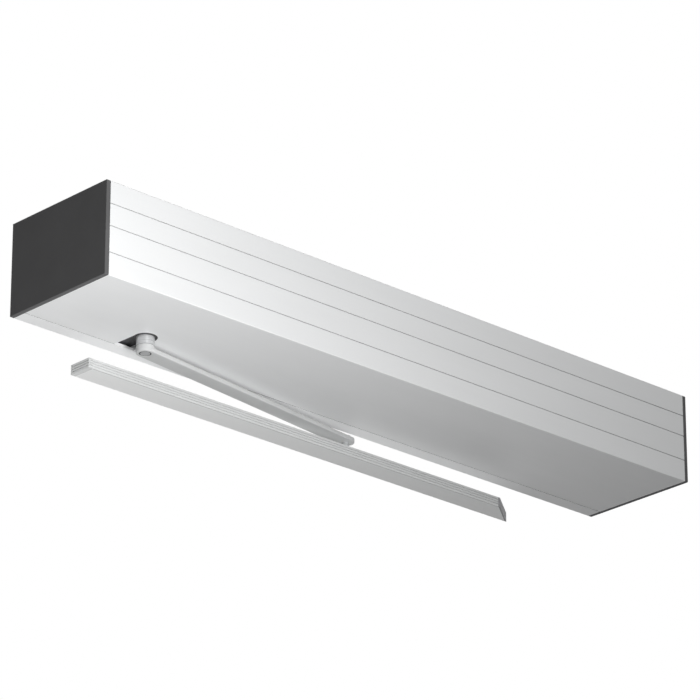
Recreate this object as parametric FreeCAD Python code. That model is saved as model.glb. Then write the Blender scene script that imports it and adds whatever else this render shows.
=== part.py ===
import FreeCAD, Part
import math
import os

from FreeCAD import Vector

# Swing door operator for surface mounting above a door, with a slide rail arm.
# Millimetres. The origin is the centre of the rear face of the base profile, which rests on the wall.
# X runs to the right seen from the front, Y runs into the wall and Z runs up.
# The pieces stand in the closed-door position: the arm lies nearly along the housing, its pin in the rail.

# Housing
LENGTH = 820.0
DEPTH = 145.0
HEIGHT = 100.0
END_CAP = 5.0
EDGE_R = 1.0
BASE_DEPTH = 17.0
BASE_WALL = 3.0
COVER_WALL = 2.0
SEAM = 0.8
TONGUE_REACH = 9.0
TONGUE_THICK = 1.8
CATCH = 1.0
PEG = 10.0
GROOVE_WIDTH = 1.0
GROOVE_DEPTH = 0.8
GROOVE_HEIGHTS = (25.9, 2.3, -25.7)
CHANNEL_WIDTH = 9.0
CHANNEL_BORE = 4.2

# T-slots in the base profile, and what is bolted into them
SLOT_HEIGHT = 22.0
SLOT_RIB = 7.0
SLOT_HALF = 7.0
SLOT_MOUTH = 3.3
SLOT_UNDERCUT = 5.4
SLOT_LIP = 2.0
T_HEAD = 3.6
BOLT_NECK = 3.0
BOLT_HEAD_R = 5.5
BOLT_HEAD = 4.0

# Wall fixing and cable entry
WALL_HOLE_R = 3.25
WALL_HOLES_X = 700.0
WALL_HOLES_Z = 76.0
ENTRY_INSET = 38.0
ENTRY_WIDTH = 30.0
ENTRY_HEIGHT = 16.0
ENTRY_CORNER = 3.0

# Spindle
SPINDLE_INSET = 131.5
SPINDLE_Y = -51.0
SPINDLE_R = 9.35
SEAT_STEP = 0.65
COLLAR_STEP = 2.5
STUB = 10.0
STUB_LENGTH = 3.8
SPINDLE_DROP = 9.5
SLOT_ROOM = 2.65
ARM_SWING = math.radians(115.0)

# Gear train: pinion and wheel of each stage, from the spindle to the motor
PRESSURE = math.radians(25.0)
ADDENDUM = 0.8
DEDENDUM = 1.05
BACKLASH = 0.12
PINION_TEETH = 12
STRAIGHT_TEETH = 36
OUTPUT_MODULE = 1.75
OUTPUT_TEETH = 40
MIDDLE_MODULE = 1.25
MIDDLE_TEETH = 44
FAST_MODULE = 1.0
FAST_TEETH = 48
TRAIN_ANGLE = math.radians(-45.0)
OUTPUT_WIDTH = 12.0
MIDDLE_WIDTH = 7.0
FAST_WIDTH = 6.0
PINION_EXTRA = 1.0
GEAR_GAP = 2.0
PIN_R = 4.0
RUNNING = 0.05
CLEAR = 0.3

# Gear case
CASE_FLOOR = 4.0
CASE_WALL = 3.5
CASE_ROOM = 2.0
CASE_CORNER = 10.0
LID = 4.0
EAR = 14.0
EAR_THICK = 4.0
EAR_HALF = 10.5
CORNER_BLOCK = 13.0
SCREW_INSET = 5.5
SCREW_HEAD_R = 3.5
SCREW_HEAD = 3.0
BEARING_RING = 3.0
BEARING_WIDTH = 7.0
BOSS_WALL = 3.5
SLEEVE_WALL = 2.5
PIN_SEAT = 2.0
SHAFT_ROOM = 1.0

# Closing spring
RACK_MODULE = 2.0
RACK_PINION_TEETH = 16
RACK_HEIGHT = 12.0
RACK_BACK = 8.0
RACK_END = 1.0
TUBE_R = 18.0
TUBE_WALL = 1.6
TUBE_LENGTH = 160.0
ROD_R = 5.0
PISTON = 8.0
PISTON_GAP = 5.0
SPRING_TURNS = 6.5
SPRING_WIRE = 4.0
SPRING_STEPS = 12
PLUG = 10.0
CLAMP = 16.0
CLAMP_INSET = 24.0
FLANGE = 6.0
NUT_WALL = 5.0
NUT_HEIGHT = 6.0
GUIDE_LENGTH = 40.0

# Motor
MOTOR_HALF = 27.0
MOTOR_CORNER = 6.0
MOTOR_PLATE = 5.0
STATOR = 26.0
MOTOR_CAP = 12.0
MOTOR_WALL = 2.0
SHAFT_R = 3.0
ROTOR_R = 13.6
ROTOR_SIDES = 12
AIR_GAP = 0.4
WINDOW = 8.0
WINDOW_PLACE = 16.0
COIL_PROUD = 6.0

# Control side
TRAY_GAP = 36.5
BOARD_HEIGHT = 72.0
BOARD_THICK = 1.6
BOARD_GAP = 19.5
STANDOFF = 8.5
TRAY_THICK = 1.5
TRAY_LIP = 2.3
TRANSFORMER_INSET = 114.0
CORE_WIDTH = 66.0
CORE_HEIGHT = 55.0
CORE_THICK = 34.0
CORE_LIMB = 11.0
COIL_PROUD_OF_CORE = 9.0
COIL_BEVEL = 4.0
RELAY_LEFT = 54.0
RELAY_PITCH = 38.0
RELAY_WIDTH = 16.0
RELAY_HEIGHT = 20.0
RELAY_DEPTH = 16.0
UPPER_ROW = 8.0
CAPACITOR_LEFT = 40.0
CAPACITOR_R = 10.0
CAPACITOR_LENGTH = 30.0
TERMINAL_LEFT = 14.0
TERMINAL_STEP = 110.0
TERMINAL_EDGE = 4.0
TERMINAL_LENGTH = 88.0
TERMINAL_HEIGHT = 12.0
TERMINAL_DEPTH = 14.0
WIRE_ENTRY = 6.0
WIRE_PITCH = 12.0
SINK_INSET = 14.0
SINK_HEIGHT = 24.0
SINK_PLATE = 4.0
FIN_THICK = 4.0
FIN_PITCH = 9.0
FIN_LENGTH = 14.0
FINS = 5

# Rocker switch in the right end cap
SWITCH_Y = -70.0
SWITCH_Z = 0.0
ROCKER_HALF_Y = 8.2
ROCKER_HALF_Z = 5.2
ROCKER_PIVOT_DEPTH = 9.0
ROCKER_RISE = 6.5
ROCKER_DIP = 5.0
ROCKER_KEEL = 2.0
ROCKER_PIN_R = 1.0
ROCKER_TILT = math.radians(8.0)
BLADE_HALF = 2.4
BLADE_THICK = 0.8
BLADE_LENGTH = 8.0
BLADE_PITCH = 7.0
SWITCH_WALL = 1.2
SWITCH_RECESS = 0.6
SWITCH_LENGTH = 16.0

# Arm
ARM_LENGTH = 312.2
ARM_WIDTH = 18.7
ARM_THICK = 5.0
ARM_HUB = 8.0
ARM_EDGE = 0.5
ARM_SCREW_R = 2.6
ARM_SCREW_HEAD_R = 5.0
ARM_SCREW_GAP = 0.4
ARM_SCREW_HEAD = 2.5
ARM_SCREW_GRIP = 18.0
SLIDE_PIN_R = 3.4
PIN_HEAD_R = 5.5
PIN_HEAD = 2.5

# Guide rail
RAIL_DROP = 9.5
RAIL_HEIGHT = 10.5
RAIL_BACK = 4.0
RAIL_DEPTH = 27.8
PIN_SETBACK = 14.0
RAIL_OVERHANG = 49.5
RAIL_LENGTH = 572.0
RAIL_MITRE = 37.0
RAIL_FLOOR = 2.0
RAIL_WALL = 2.2
RAIL_LIP = 1.8
RAIL_SLOT = 9.0
TRIM_THICK = 1.5
TRIM_GROOVE = 0.9
TRIM_GROOVES = 3
TRIM_GROOVE_DEPTH = 0.7
RAIL_CAP = 6.0
RAIL_CAP_TONGUE = 8.0
MITRE_CAP = 1.6
BLOCK_LENGTH = 40.0
BLOCK_BEVEL = 2.0
NECK_LENGTH = 20.0
NECK_RISE = 1.0
BUFFER = 10.0
RAIL_HOLE_R = 2.6
RAIL_ACCESS = 4.5
RAIL_OUTER_HOLES = 480.0
RAIL_INNER_HOLES = 160.0
RAIL_HOLES_INSET = 48.0


def pitch_r(module, teeth):
    return module * teeth / 2


def tip_r(module, teeth):
    return pitch_r(module, teeth) + ADDENDUM * module


# Places and sizes worked out from those above
BASE_X = LENGTH / 2 - END_CAP
TOP = HEIGHT / 2
RIB_FACE = -BASE_WALL - SLOT_RIB
COVER_REAR = -BASE_DEPTH - SEAM
ENTRY_X = LENGTH / 2 - ENTRY_INSET
SPINDLE_X = -LENGTH / 2 + SPINDLE_INSET
SPINDLE = (SPINDLE_X, SPINDLE_Y)
SEAT_R = SPINDLE_R + SEAT_STEP
COLLAR_R = SEAT_R + COLLAR_STEP
BEARING_R = SEAT_R + BEARING_RING

# Levels, from the housing's floor up
CASE_Z = -TOP + BASE_WALL + TONGUE_THICK + 2 * CLEAR
FLOOR_Z = CASE_Z + CASE_FLOOR
COLLAR_Z = CASE_Z + BEARING_WIDTH + 2 * RUNNING
MIDDLE_Z = COLLAR_Z + PINION_EXTRA
OUTPUT_Z = MIDDLE_Z + MIDDLE_WIDTH + GEAR_GAP
FAST_Z = OUTPUT_Z + OUTPUT_WIDTH + GEAR_GAP + PINION_EXTRA
CASE_TOP = FAST_Z + FAST_WIDTH + PINION_EXTRA + GEAR_GAP
LID_TOP = CASE_TOP + LID
BEARING_TOP = CASE_TOP + BEARING_WIDTH
STATOR_Z = LID_TOP + MOTOR_PLATE
TUBE_AXIS_Z = LID_TOP + 2 * CLEAR + TUBE_R
RACK_Z = TUBE_AXIS_Z - RACK_HEIGHT / 2
RACK_PINION_TOP = RACK_Z + RACK_HEIGHT + PINION_EXTRA
STUB_Z = -TOP - SPINDLE_DROP
ARM_Z = STUB_Z - ARM_HUB
ARM_TOP = ARM_Z + ARM_THICK
RAIL_TOP = ARM_Z - RAIL_DROP
RAIL_Z = RAIL_TOP - RAIL_HEIGHT

# Axes of the train in the plan
OUTPUT_CENTRES = pitch_r(OUTPUT_MODULE, PINION_TEETH + OUTPUT_TEETH)
MIDDLE_CENTRES = pitch_r(MIDDLE_MODULE, PINION_TEETH + MIDDLE_TEETH)
FAST_CENTRES = pitch_r(FAST_MODULE, PINION_TEETH + FAST_TEETH)
IDLER_2 = (SPINDLE_X + OUTPUT_CENTRES * math.cos(TRAIN_ANGLE),
           SPINDLE_Y + OUTPUT_CENTRES * math.sin(TRAIN_ANGLE))
IDLER_1 = (IDLER_2[0] + MIDDLE_CENTRES, IDLER_2[1])
MOTOR = (IDLER_1[0] + FAST_CENTRES, IDLER_1[1])
CASE_LEFT = SPINDLE_X - tip_r(OUTPUT_MODULE, OUTPUT_TEETH) - CASE_ROOM - CASE_WALL
CASE_RIGHT = MOTOR[0] + MOTOR_HALF + CLEAR + SCREW_HEAD_R + SCREW_INSET
CASE_FRONT = IDLER_2[1] - tip_r(MIDDLE_MODULE, MIDDLE_TEETH) - CASE_ROOM - CASE_WALL
CASE_CORNERS = [(x, y) for x in (CASE_LEFT + SCREW_INSET, CASE_RIGHT - SCREW_INSET)
                for y in (CASE_FRONT + SCREW_INSET, RIB_FACE - SCREW_INSET)]
EAR_HOLES = [CASE_LEFT - EAR / 2, CASE_RIGHT + EAR / 2]

# Closing spring, from the rack to the plug
RACK_PITCH = math.pi * RACK_MODULE
RACK_TRAVEL = ARM_SWING * pitch_r(RACK_MODULE, RACK_PINION_TEETH)
RACK_PITCH_Y = SPINDLE_Y + pitch_r(RACK_MODULE, RACK_PINION_TEETH)
RACK_REAR_Y = RACK_PITCH_Y + DEDENDUM * RACK_MODULE + RACK_BACK
RACK_RIGHT = SPINDLE_X + 2 * RACK_PITCH + RACK_END
TUBE_AXIS_Y = RACK_REAR_Y - ROD_R - RACK_END
TUBE_LEFT = RACK_RIGHT + RACK_TRAVEL + CLEAR + FLANGE
TUBE_RIGHT = TUBE_LEFT + TUBE_LENGTH
PISTON_LEFT = TUBE_LEFT + PISTON_GAP
CLAMP_BOLT_X = TUBE_RIGHT - CLAMP_INSET

# Control side
TRANSFORMER_X = LENGTH / 2 - TRANSFORMER_INSET
FRAME_REACH = CORE_WIDTH / 2 + TRAY_THICK + EAR
BOARD_LEFT = TUBE_RIGHT + TRAY_GAP + EAR
BOARD_LENGTH = TRANSFORMER_X - FRAME_REACH - BOARD_GAP - EAR - BOARD_LEFT
SINK_LENGTH = FIN_PITCH * (FINS - 1) + FIN_THICK
SINK_LEFT = BOARD_LENGTH - SINK_INSET - SINK_LENGTH
RELAYS = int((SINK_LEFT - RELAY_LEFT) / RELAY_PITCH)
TERMINALS = int((BOARD_LENGTH - 2 * TERMINAL_LEFT + TERMINAL_STEP - TERMINAL_LENGTH) / TERMINAL_STEP)
BOARD_Y = RIB_FACE - TRAY_THICK - STANDOFF
BOARD_FACE = BOARD_Y - BOARD_THICK
CORE_REAR = RIB_FACE - EAR_THICK - CORE_LIMB
TRAY_BOLTS = (BOARD_LEFT - EAR / 2, BOARD_LEFT + BOARD_LENGTH + EAR / 2)
FRAME_BOLTS = (TRANSFORMER_X - FRAME_REACH + EAR / 2, TRANSFORMER_X + FRAME_REACH - EAR / 2)
PIVOT_X = LENGTH / 2 - ROCKER_PIVOT_DEPTH
SWITCH_HALF_Y = (ROCKER_HALF_Y * math.cos(ROCKER_TILT) + ROCKER_RISE * math.sin(ROCKER_TILT)
                 + CLEAR + SWITCH_WALL)
SWITCH_HALF_Z = ROCKER_HALF_Z + CLEAR + SWITCH_WALL

# Arm and guide rail
PIN_Y = RAIL_BACK - PIN_SETBACK
ARM_ANGLE = math.asin((PIN_Y - SPINDLE_Y) / ARM_LENGTH)
PIN_X = SPINDLE_X + ARM_LENGTH * math.cos(ARM_ANGLE)
RAIL_FRONT = RAIL_BACK - RAIL_DEPTH
RAIL_LEFT = SPINDLE_X - RAIL_OVERHANG
RAIL_RIGHT = RAIL_LEFT + RAIL_LENGTH
RAIL_HOLES_X = RAIL_LEFT + RAIL_HOLES_INSET + RAIL_OUTER_HOLES / 2
MITRE_THICK = MITRE_CAP * math.hypot(RAIL_MITRE, RAIL_DEPTH) / RAIL_DEPTH
CHANNEL_FRONT = RAIL_FRONT + TRIM_THICK + RAIL_WALL
CHANNEL_REAR = RAIL_BACK - RAIL_WALL
CHANNEL_FLOOR = RAIL_Z + RAIL_FLOOR
CHANNEL_ROOF = RAIL_TOP - RAIL_LIP


ALONG = Vector(1, 0, 0)
INWARD = Vector(0, 1, 0)
UPRIGHT = Vector(0, 0, 1)
NEAR = 0.01
OVER = 1.0


def box(x0, x1, y0, y1, z0, z1):
    """A block between two corners."""
    return Part.makeBox(x1 - x0, y1 - y0, z1 - z0, Vector(x0, y0, z0))


def cylinder(radius, z0, z1, place):
    """An upright cylinder at a place (x, y)."""
    return Part.makeCylinder(radius, z1 - z0, Vector(place[0], place[1], z0))


def cylinder_x(radius, x0, x1, y, z):
    return Part.makeCylinder(radius, x1 - x0, Vector(x0, y, z), ALONG)


def cylinder_y(radius, y0, y1, x, z):
    return Part.makeCylinder(radius, y1 - y0, Vector(x, y0, z), INWARD)


def ring(outer, inner, z0, z1, place):
    return cylinder(outer, z0, z1, place).cut(cylinder(inner, z0, z1, place))


def prism(corners, direction):
    """A closed outline of straight runs, drawn out along a direction."""
    return Part.Face(Part.makePolygon(corners + corners[:1])).extrude(direction)


def along_x(outline, x0, x1):
    """An outline of (y, z) points drawn out along X, as an extrusion is."""
    return prism([Vector(x0, y, z) for y, z in outline], Vector(x1 - x0, 0, 0))


def along_z(outline, z0, z1):
    """An outline of (x, y) points drawn out along Z."""
    return prism([Vector(x, y, z0) for x, y in outline], Vector(0, 0, z1 - z0))


def turned(outline, place):
    """An outline of (radius, z) points turned about an upright axis."""
    corners = [Vector(place[0] + r, place[1], z) for r, z in outline]
    face = Part.Face(Part.makePolygon(corners + corners[:1]))
    return face.revolve(Vector(place[0], place[1], 0), UPRIGHT, 360)


def union(shapes):
    return shapes[0].multiFuse(shapes[1:]).removeSplitter()


def edges_along(shape, direction):
    """The edges whose start runs along a direction."""
    return [e for e in shape.Edges if e.tangentAt(e.FirstParameter).cross(direction).Length < NEAR]


def fillet_upright(shape, radius):
    return shape.makeFillet(radius, edges_along(shape, UPRIGHT))


def chamfer_upright(shape, size):
    return shape.makeChamfer(size, edges_along(shape, UPRIGHT))


def round_front_edges(shape):
    """Rounds the two long edges of the housing's front."""
    edges = [e for e in edges_along(shape, ALONG) if abs(e.CenterOfMass.y + DEPTH) < NEAR]
    return shape.makeFillet(EDGE_R, edges)


# Housing

def base_profile():
    """Extruded back plate with two legs, two T-slots, wall fixing holes and a cable entry."""
    leg = TOP - BASE_WALL
    body = along_x([(0, TOP), (-BASE_DEPTH, TOP), (-BASE_DEPTH, leg), (-BASE_WALL, leg), (-BASE_WALL, -leg),
                    (-BASE_DEPTH, -leg), (-BASE_DEPTH, -TOP), (0, -TOP)], -BASE_X, BASE_X)
    ribs = [box(-BASE_X, BASE_X, RIB_FACE, -BASE_WALL, z - SLOT_HALF, z + SLOT_HALF)
            for z in (-SLOT_HEIGHT, SLOT_HEIGHT)]
    body = union([body] + ribs)
    cuts = []
    for s in (1, -1):
        z = s * SLOT_HEIGHT
        lip = RIB_FACE + SLOT_LIP
        cuts.append(box(-BASE_X, BASE_X, RIB_FACE, lip, z - SLOT_MOUTH, z + SLOT_MOUTH))
        cuts.append(box(-BASE_X, BASE_X, lip, -BASE_WALL, z - SLOT_UNDERCUT, z + SLOT_UNDERCUT))
        catch = -BASE_DEPTH + TONGUE_REACH / 2
        cuts.append(along_x([(catch - CATCH, s * leg), (catch, s * (leg + CATCH)), (catch + CATCH, s * leg)],
                            -BASE_X, BASE_X))
    for x in (-WALL_HOLES_X / 2, WALL_HOLES_X / 2):
        for z in (-WALL_HOLES_Z / 2, WALL_HOLES_Z / 2):
            cuts.append(cylinder_y(WALL_HOLE_R, -BASE_WALL, 0, x, z))
    entry = box(ENTRY_X - ENTRY_WIDTH / 2, ENTRY_X + ENTRY_WIDTH / 2, -BASE_WALL, 0,
                -ENTRY_HEIGHT / 2, ENTRY_HEIGHT / 2)
    cuts.append(entry.makeFillet(ENTRY_CORNER, edges_along(entry, INWARD)))
    return body.cut(Part.makeCompound(cuts))


def cover():
    """Extruded cover that snaps over the base profile's legs, with a slot for the spindle."""
    inner = TOP - COVER_WALL
    front = -DEPTH + COVER_WALL
    body = along_x([(COVER_REAR, TOP), (-DEPTH, TOP), (-DEPTH, -TOP), (COVER_REAR, -TOP),
                    (COVER_REAR, -inner), (front, -inner), (front, inner), (COVER_REAR, inner)],
                   -BASE_X, BASE_X)
    parts = [round_front_edges(body)]
    tongue_top = TOP - BASE_WALL - CLEAR
    tongue_low = tongue_top - TONGUE_THICK
    tip = -BASE_DEPTH + TONGUE_REACH
    root = COVER_REAR - TONGUE_REACH
    catch = -BASE_DEPTH + TONGUE_REACH / 2
    for s in (1, -1):
        parts.append(along_x([(root, s * inner), (COVER_REAR, s * inner), (COVER_REAR, s * tongue_top),
                              (catch - CATCH, s * tongue_top), (catch, s * (tongue_top + CATCH)),
                              (catch + CATCH, s * tongue_top), (tip, s * tongue_top), (tip, s * tongue_low),
                              (root, s * tongue_low)], -BASE_X, BASE_X))
        parts.append(along_x([(front, s * inner), (front + CHANNEL_WIDTH, s * inner),
                              (front + CHANNEL_WIDTH, s * (inner - CHANNEL_WIDTH)),
                              (front, s * (inner - CHANNEL_WIDTH))], -BASE_X, BASE_X))
    body = union(parts)
    cuts = [channel_hole(s, -BASE_X, BASE_X) for s in (1, -1)]
    for z in GROOVE_HEIGHTS:
        cuts.append(along_x([(-DEPTH, z + GROOVE_WIDTH / 2), (-DEPTH, z - GROOVE_WIDTH / 2),
                             (-DEPTH + GROOVE_DEPTH, z - GROOVE_WIDTH / 4),
                             (-DEPTH + GROOVE_DEPTH, z + GROOVE_WIDTH / 4)], -BASE_X, BASE_X))
    half = SPINDLE_R + SLOT_ROOM
    cuts.append(cylinder(half, -TOP, -tongue_low, SPINDLE))
    cuts.append(box(SPINDLE_X - half, SPINDLE_X + half, SPINDLE_Y, 0, -TOP, -tongue_low))
    return body.cut(Part.makeCompound(cuts))


def channel_hole(side, x0, x1, shrink=0.0):
    """The square channel along a front corner of the cover, which the end caps' pegs enter."""
    mid_y = -DEPTH + COVER_WALL + CHANNEL_WIDTH / 2
    mid_z = side * (TOP - COVER_WALL - CHANNEL_WIDTH / 2)
    half = CHANNEL_BORE / 2 - shrink
    return box(x0, x1, mid_y - half, mid_y + half, mid_z - half, mid_z + half)


def end_cap(side):
    """Moulded end plate, flush with the cover, with pegs for the cover and the base profile's T-slots."""
    outer = side * LENGTH / 2
    face = side * BASE_X
    low, high = sorted((face, outer))
    plate = box(low, high, -DEPTH, 0, -TOP, TOP)
    plate = round_front_edges(plate)
    rim_edges = [e for f in plate.Faces if abs(f.CenterOfMass.x - outer) < NEAR for e in f.Edges]
    parts = [plate.makeChamfer(EDGE_R / 3, rim_edges)]
    peg_low, peg_high = sorted((face, face - side * PEG))
    for s in (1, -1):
        parts.append(channel_hole(s, peg_low, peg_high, RUNNING))
        half = SLOT_UNDERCUT - CLEAR
        parts.append(box(peg_low, peg_high, RIB_FACE + SLOT_LIP + CLEAR, -BASE_WALL - CLEAR,
                         s * SLOT_HEIGHT - half, s * SLOT_HEIGHT + half))
    return union(parts)


def end_cap_left():
    return end_cap(-1)


def end_cap_right():
    """The right end cap has the cut-out that the rocker switch clips into."""
    return end_cap(1).cut(box(BASE_X, LENGTH / 2, SWITCH_Y - SWITCH_HALF_Y, SWITCH_Y + SWITCH_HALF_Y,
                              SWITCH_Z - SWITCH_HALF_Z, SWITCH_Z + SWITCH_HALF_Z))


def bolt_neck(x, side, y0, y1):
    """The square neck of a T-slot bolt, or the hole that it passes through."""
    z = side * SLOT_HEIGHT
    return box(x - BOLT_NECK, x + BOLT_NECK, y0, y1, z - BOLT_NECK, z + BOLT_NECK)


def slot_bolt(x, side, head_y):
    """Bolt with its hexagon head on a face at head_y, a square neck and a T-shaped foot in a slot."""
    z = side * SLOT_HEIGHT
    lip = RIB_FACE + SLOT_LIP
    half = SLOT_UNDERCUT - CLEAR
    head = hexagon(BOLT_HEAD_R, head_y - BOLT_HEAD, head_y, (0, 0))
    head.rotate(Vector(0, 0, 0), ALONG, -90)
    head.translate(Vector(x, 0, z))
    foot = box(x - half, x + half, lip, lip + T_HEAD, z - half, z + half)
    return union([head, bolt_neck(x, side, head_y, lip), foot])


def t_slot_bolts():
    """Every bolt into the T-slots, the lower one for the drive side and the upper for the control side."""
    thick, thin = RIB_FACE - EAR_THICK, RIB_FACE - TRAY_THICK
    bolts = [slot_bolt(x, -1, thick) for x in EAR_HOLES + [CLAMP_BOLT_X]]
    bolts += [slot_bolt(x, 1, thin) for x in TRAY_BOLTS + FRAME_BOLTS]
    return Part.makeCompound(bolts)


# Gears

def involute(angle):
    return math.tan(angle) - angle


def gear_outline(module, teeth, place, phase):
    """Points of a spur gear's involute outline, one tooth pointing along the angle phase.

    A flank bends once at the pitch circle. On a large wheel it is so nearly straight that it has no bend.
    """
    pitch = pitch_r(module, teeth)
    base = pitch * math.cos(PRESSURE)
    root = pitch - DEDENDUM * module
    tip = tip_r(module, teeth)
    radii = [root, tip] if teeth >= STRAIGHT_TEETH else [root, pitch, tip]
    half_tooth = math.pi / (2 * teeth) - BACKLASH / (2 * pitch)
    flank = []
    for r in radii:
        slant = math.acos(min(1.0, base / r))
        flank.append((r, half_tooth + involute(PRESSURE) - involute(slant)))
    points = []
    for tooth in range(teeth):
        middle = phase + 2 * math.pi * tooth / teeth
        for r, half in flank:
            points.append((r, middle - half))
        for r, half in reversed(flank):
            points.append((r, middle + half))
    return [(place[0] + r * math.cos(a), place[1] + r * math.sin(a)) for r, a in points]


def gear(module, teeth, place, phase, z0, z1):
    return along_z(gear_outline(module, teeth, place, phase), z0, z1)


def bearing(start, end):
    """Direction in the plan from one axis to the next."""
    return math.atan2(end[1] - start[1], end[0] - start[0])


def pinion_phase(driven, pinion):
    """A pinion has a gap where the wheel's tooth points at it."""
    return bearing(driven, pinion) + math.pi + math.pi / PINION_TEETH


def output_gear():
    high = OUTPUT_Z + OUTPUT_WIDTH
    wheel = gear(OUTPUT_MODULE, OUTPUT_TEETH, SPINDLE, bearing(SPINDLE, IDLER_2), OUTPUT_Z, high)
    return wheel.cut(cylinder(SEAT_R, OUTPUT_Z, high, SPINDLE))


def idler_2_pinion():
    """Pinion with a sleeve that carries the middle wheel and keeps the pair in place on its pin."""
    low = OUTPUT_Z - PINION_EXTRA
    high = OUTPUT_Z + OUTPUT_WIDTH + PINION_EXTRA
    teeth = gear(OUTPUT_MODULE, PINION_TEETH, IDLER_2, pinion_phase(SPINDLE, IDLER_2), low, high)
    sleeve = cylinder(PIN_R + SLEEVE_WALL, FLOOR_Z + CLEAR, low, IDLER_2)
    return teeth.fuse(sleeve).cut(cylinder(PIN_R + RUNNING, FLOOR_Z, high, IDLER_2))


def idler_2_gear():
    high = MIDDLE_Z + MIDDLE_WIDTH
    wheel = gear(MIDDLE_MODULE, MIDDLE_TEETH, IDLER_2, bearing(IDLER_2, IDLER_1), MIDDLE_Z, high)
    return wheel.cut(cylinder(PIN_R + SLEEVE_WALL, MIDDLE_Z, high, IDLER_2))


def idler_1_sleeve():
    """Sleeve just inside the roots of the pinion's teeth."""
    return pitch_r(MIDDLE_MODULE, PINION_TEETH) - DEDENDUM * MIDDLE_MODULE - RUNNING


def idler_1_pinion():
    high = MIDDLE_Z + MIDDLE_WIDTH + PINION_EXTRA
    teeth = gear(MIDDLE_MODULE, PINION_TEETH, IDLER_1, pinion_phase(IDLER_2, IDLER_1), FLOOR_Z + CLEAR, high)
    sleeve = cylinder(idler_1_sleeve(), high, CASE_TOP - CLEAR, IDLER_1)
    return teeth.fuse(sleeve).cut(cylinder(PIN_R + RUNNING, FLOOR_Z, CASE_TOP, IDLER_1))


def idler_1_gear():
    high = FAST_Z + FAST_WIDTH
    wheel = gear(FAST_MODULE, FAST_TEETH, IDLER_1, bearing(IDLER_1, MOTOR), FAST_Z, high)
    return wheel.cut(cylinder(idler_1_sleeve(), FAST_Z, high, IDLER_1))


def motor_pinion():
    low = FAST_Z - PINION_EXTRA
    high = FAST_Z + FAST_WIDTH + PINION_EXTRA
    teeth = gear(FAST_MODULE, PINION_TEETH, MOTOR, pinion_phase(IDLER_1, MOTOR), low, high)
    return teeth.cut(cylinder(SHAFT_R, low, high, MOTOR))


def idler_pins():
    pins = [cylinder(PIN_R, FLOOR_Z - PIN_SEAT, CASE_TOP + PIN_SEAT, place) for place in (IDLER_2, IDLER_1)]
    return Part.makeCompound(pins)


# Gear case

def gear_case():
    """Cast tray for the train, with thick corners under the lid's screws and ears for the T-slots."""
    body = fillet_upright(box(CASE_LEFT, CASE_RIGHT, CASE_FRONT, RIB_FACE, CASE_Z, CASE_TOP), CASE_CORNER)
    x0, x1 = CASE_LEFT + CASE_WALL, CASE_RIGHT - CASE_WALL
    y0, y1 = CASE_FRONT + CASE_WALL, RIB_FACE - CASE_WALL
    room = box(x0, x1, y0, y1, FLOOR_Z, CASE_TOP)
    room = chamfer_upright(room, CORNER_BLOCK)
    parts = [body.cut(room), cylinder(BEARING_R + BOSS_WALL, FLOOR_Z, CASE_Z + BEARING_WIDTH, SPINDLE)]
    for x0, x1 in ((CASE_LEFT - EAR, CASE_LEFT + CASE_CORNER), (CASE_RIGHT - CASE_CORNER, CASE_RIGHT + EAR)):
        parts.append(box(x0, x1, RIB_FACE - EAR_THICK, RIB_FACE,
                         -SLOT_HEIGHT - EAR_HALF, -SLOT_HEIGHT + EAR_HALF))
    cuts = [cylinder(BEARING_R, CASE_Z, CASE_Z + BEARING_WIDTH, SPINDLE)]
    cuts += [cylinder(PIN_R, FLOOR_Z - PIN_SEAT, FLOOR_Z, place) for place in (IDLER_2, IDLER_1)]
    cuts += [bolt_neck(x, -1, RIB_FACE - EAR_THICK, RIB_FACE) for x in EAR_HOLES]
    return union(parts).cut(Part.makeCompound(cuts))


def gear_case_lid():
    """Lid with its corner screws, the upper bearing's boss and an upright flange for the spring tube."""
    plate = fillet_upright(box(CASE_LEFT, CASE_RIGHT, CASE_FRONT, RIB_FACE, CASE_TOP, LID_TOP), CASE_CORNER)
    flange = box(TUBE_LEFT - FLANGE, TUBE_LEFT, TUBE_AXIS_Y - TUBE_R, TUBE_AXIS_Y + TUBE_R,
                 LID_TOP, TUBE_AXIS_Z + TUBE_R)
    cuts = [cylinder(BEARING_R, CASE_TOP, BEARING_TOP, SPINDLE),
            cylinder(tip_r(FAST_MODULE, PINION_TEETH) + SHAFT_ROOM, CASE_TOP, LID_TOP, MOTOR),
            cylinder_x(ROD_R + RUNNING, TUBE_LEFT - FLANGE, TUBE_LEFT, TUBE_AXIS_Y, TUBE_AXIS_Z)]
    cuts += [cylinder(PIN_R, CASE_TOP, CASE_TOP + PIN_SEAT, place) for place in (IDLER_2, IDLER_1)]
    boss = cylinder(BEARING_R + BOSS_WALL, CASE_TOP, BEARING_TOP, SPINDLE)
    heads = [hexagon(SCREW_HEAD_R, LID_TOP, LID_TOP + SCREW_HEAD, place) for place in CASE_CORNERS]
    return union([plate, boss, flange] + heads).cut(Part.makeCompound(cuts))


def spindle_bearings():
    """Two drawn-cup needle bearings, each a plain ring on the spindle's seat."""
    return Part.makeCompound([ring(BEARING_R, SEAT_R + RUNNING, z, z + BEARING_WIDTH, SPINDLE)
                              for z in (CASE_Z, CASE_TOP)])


# Spindle and arm

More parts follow.
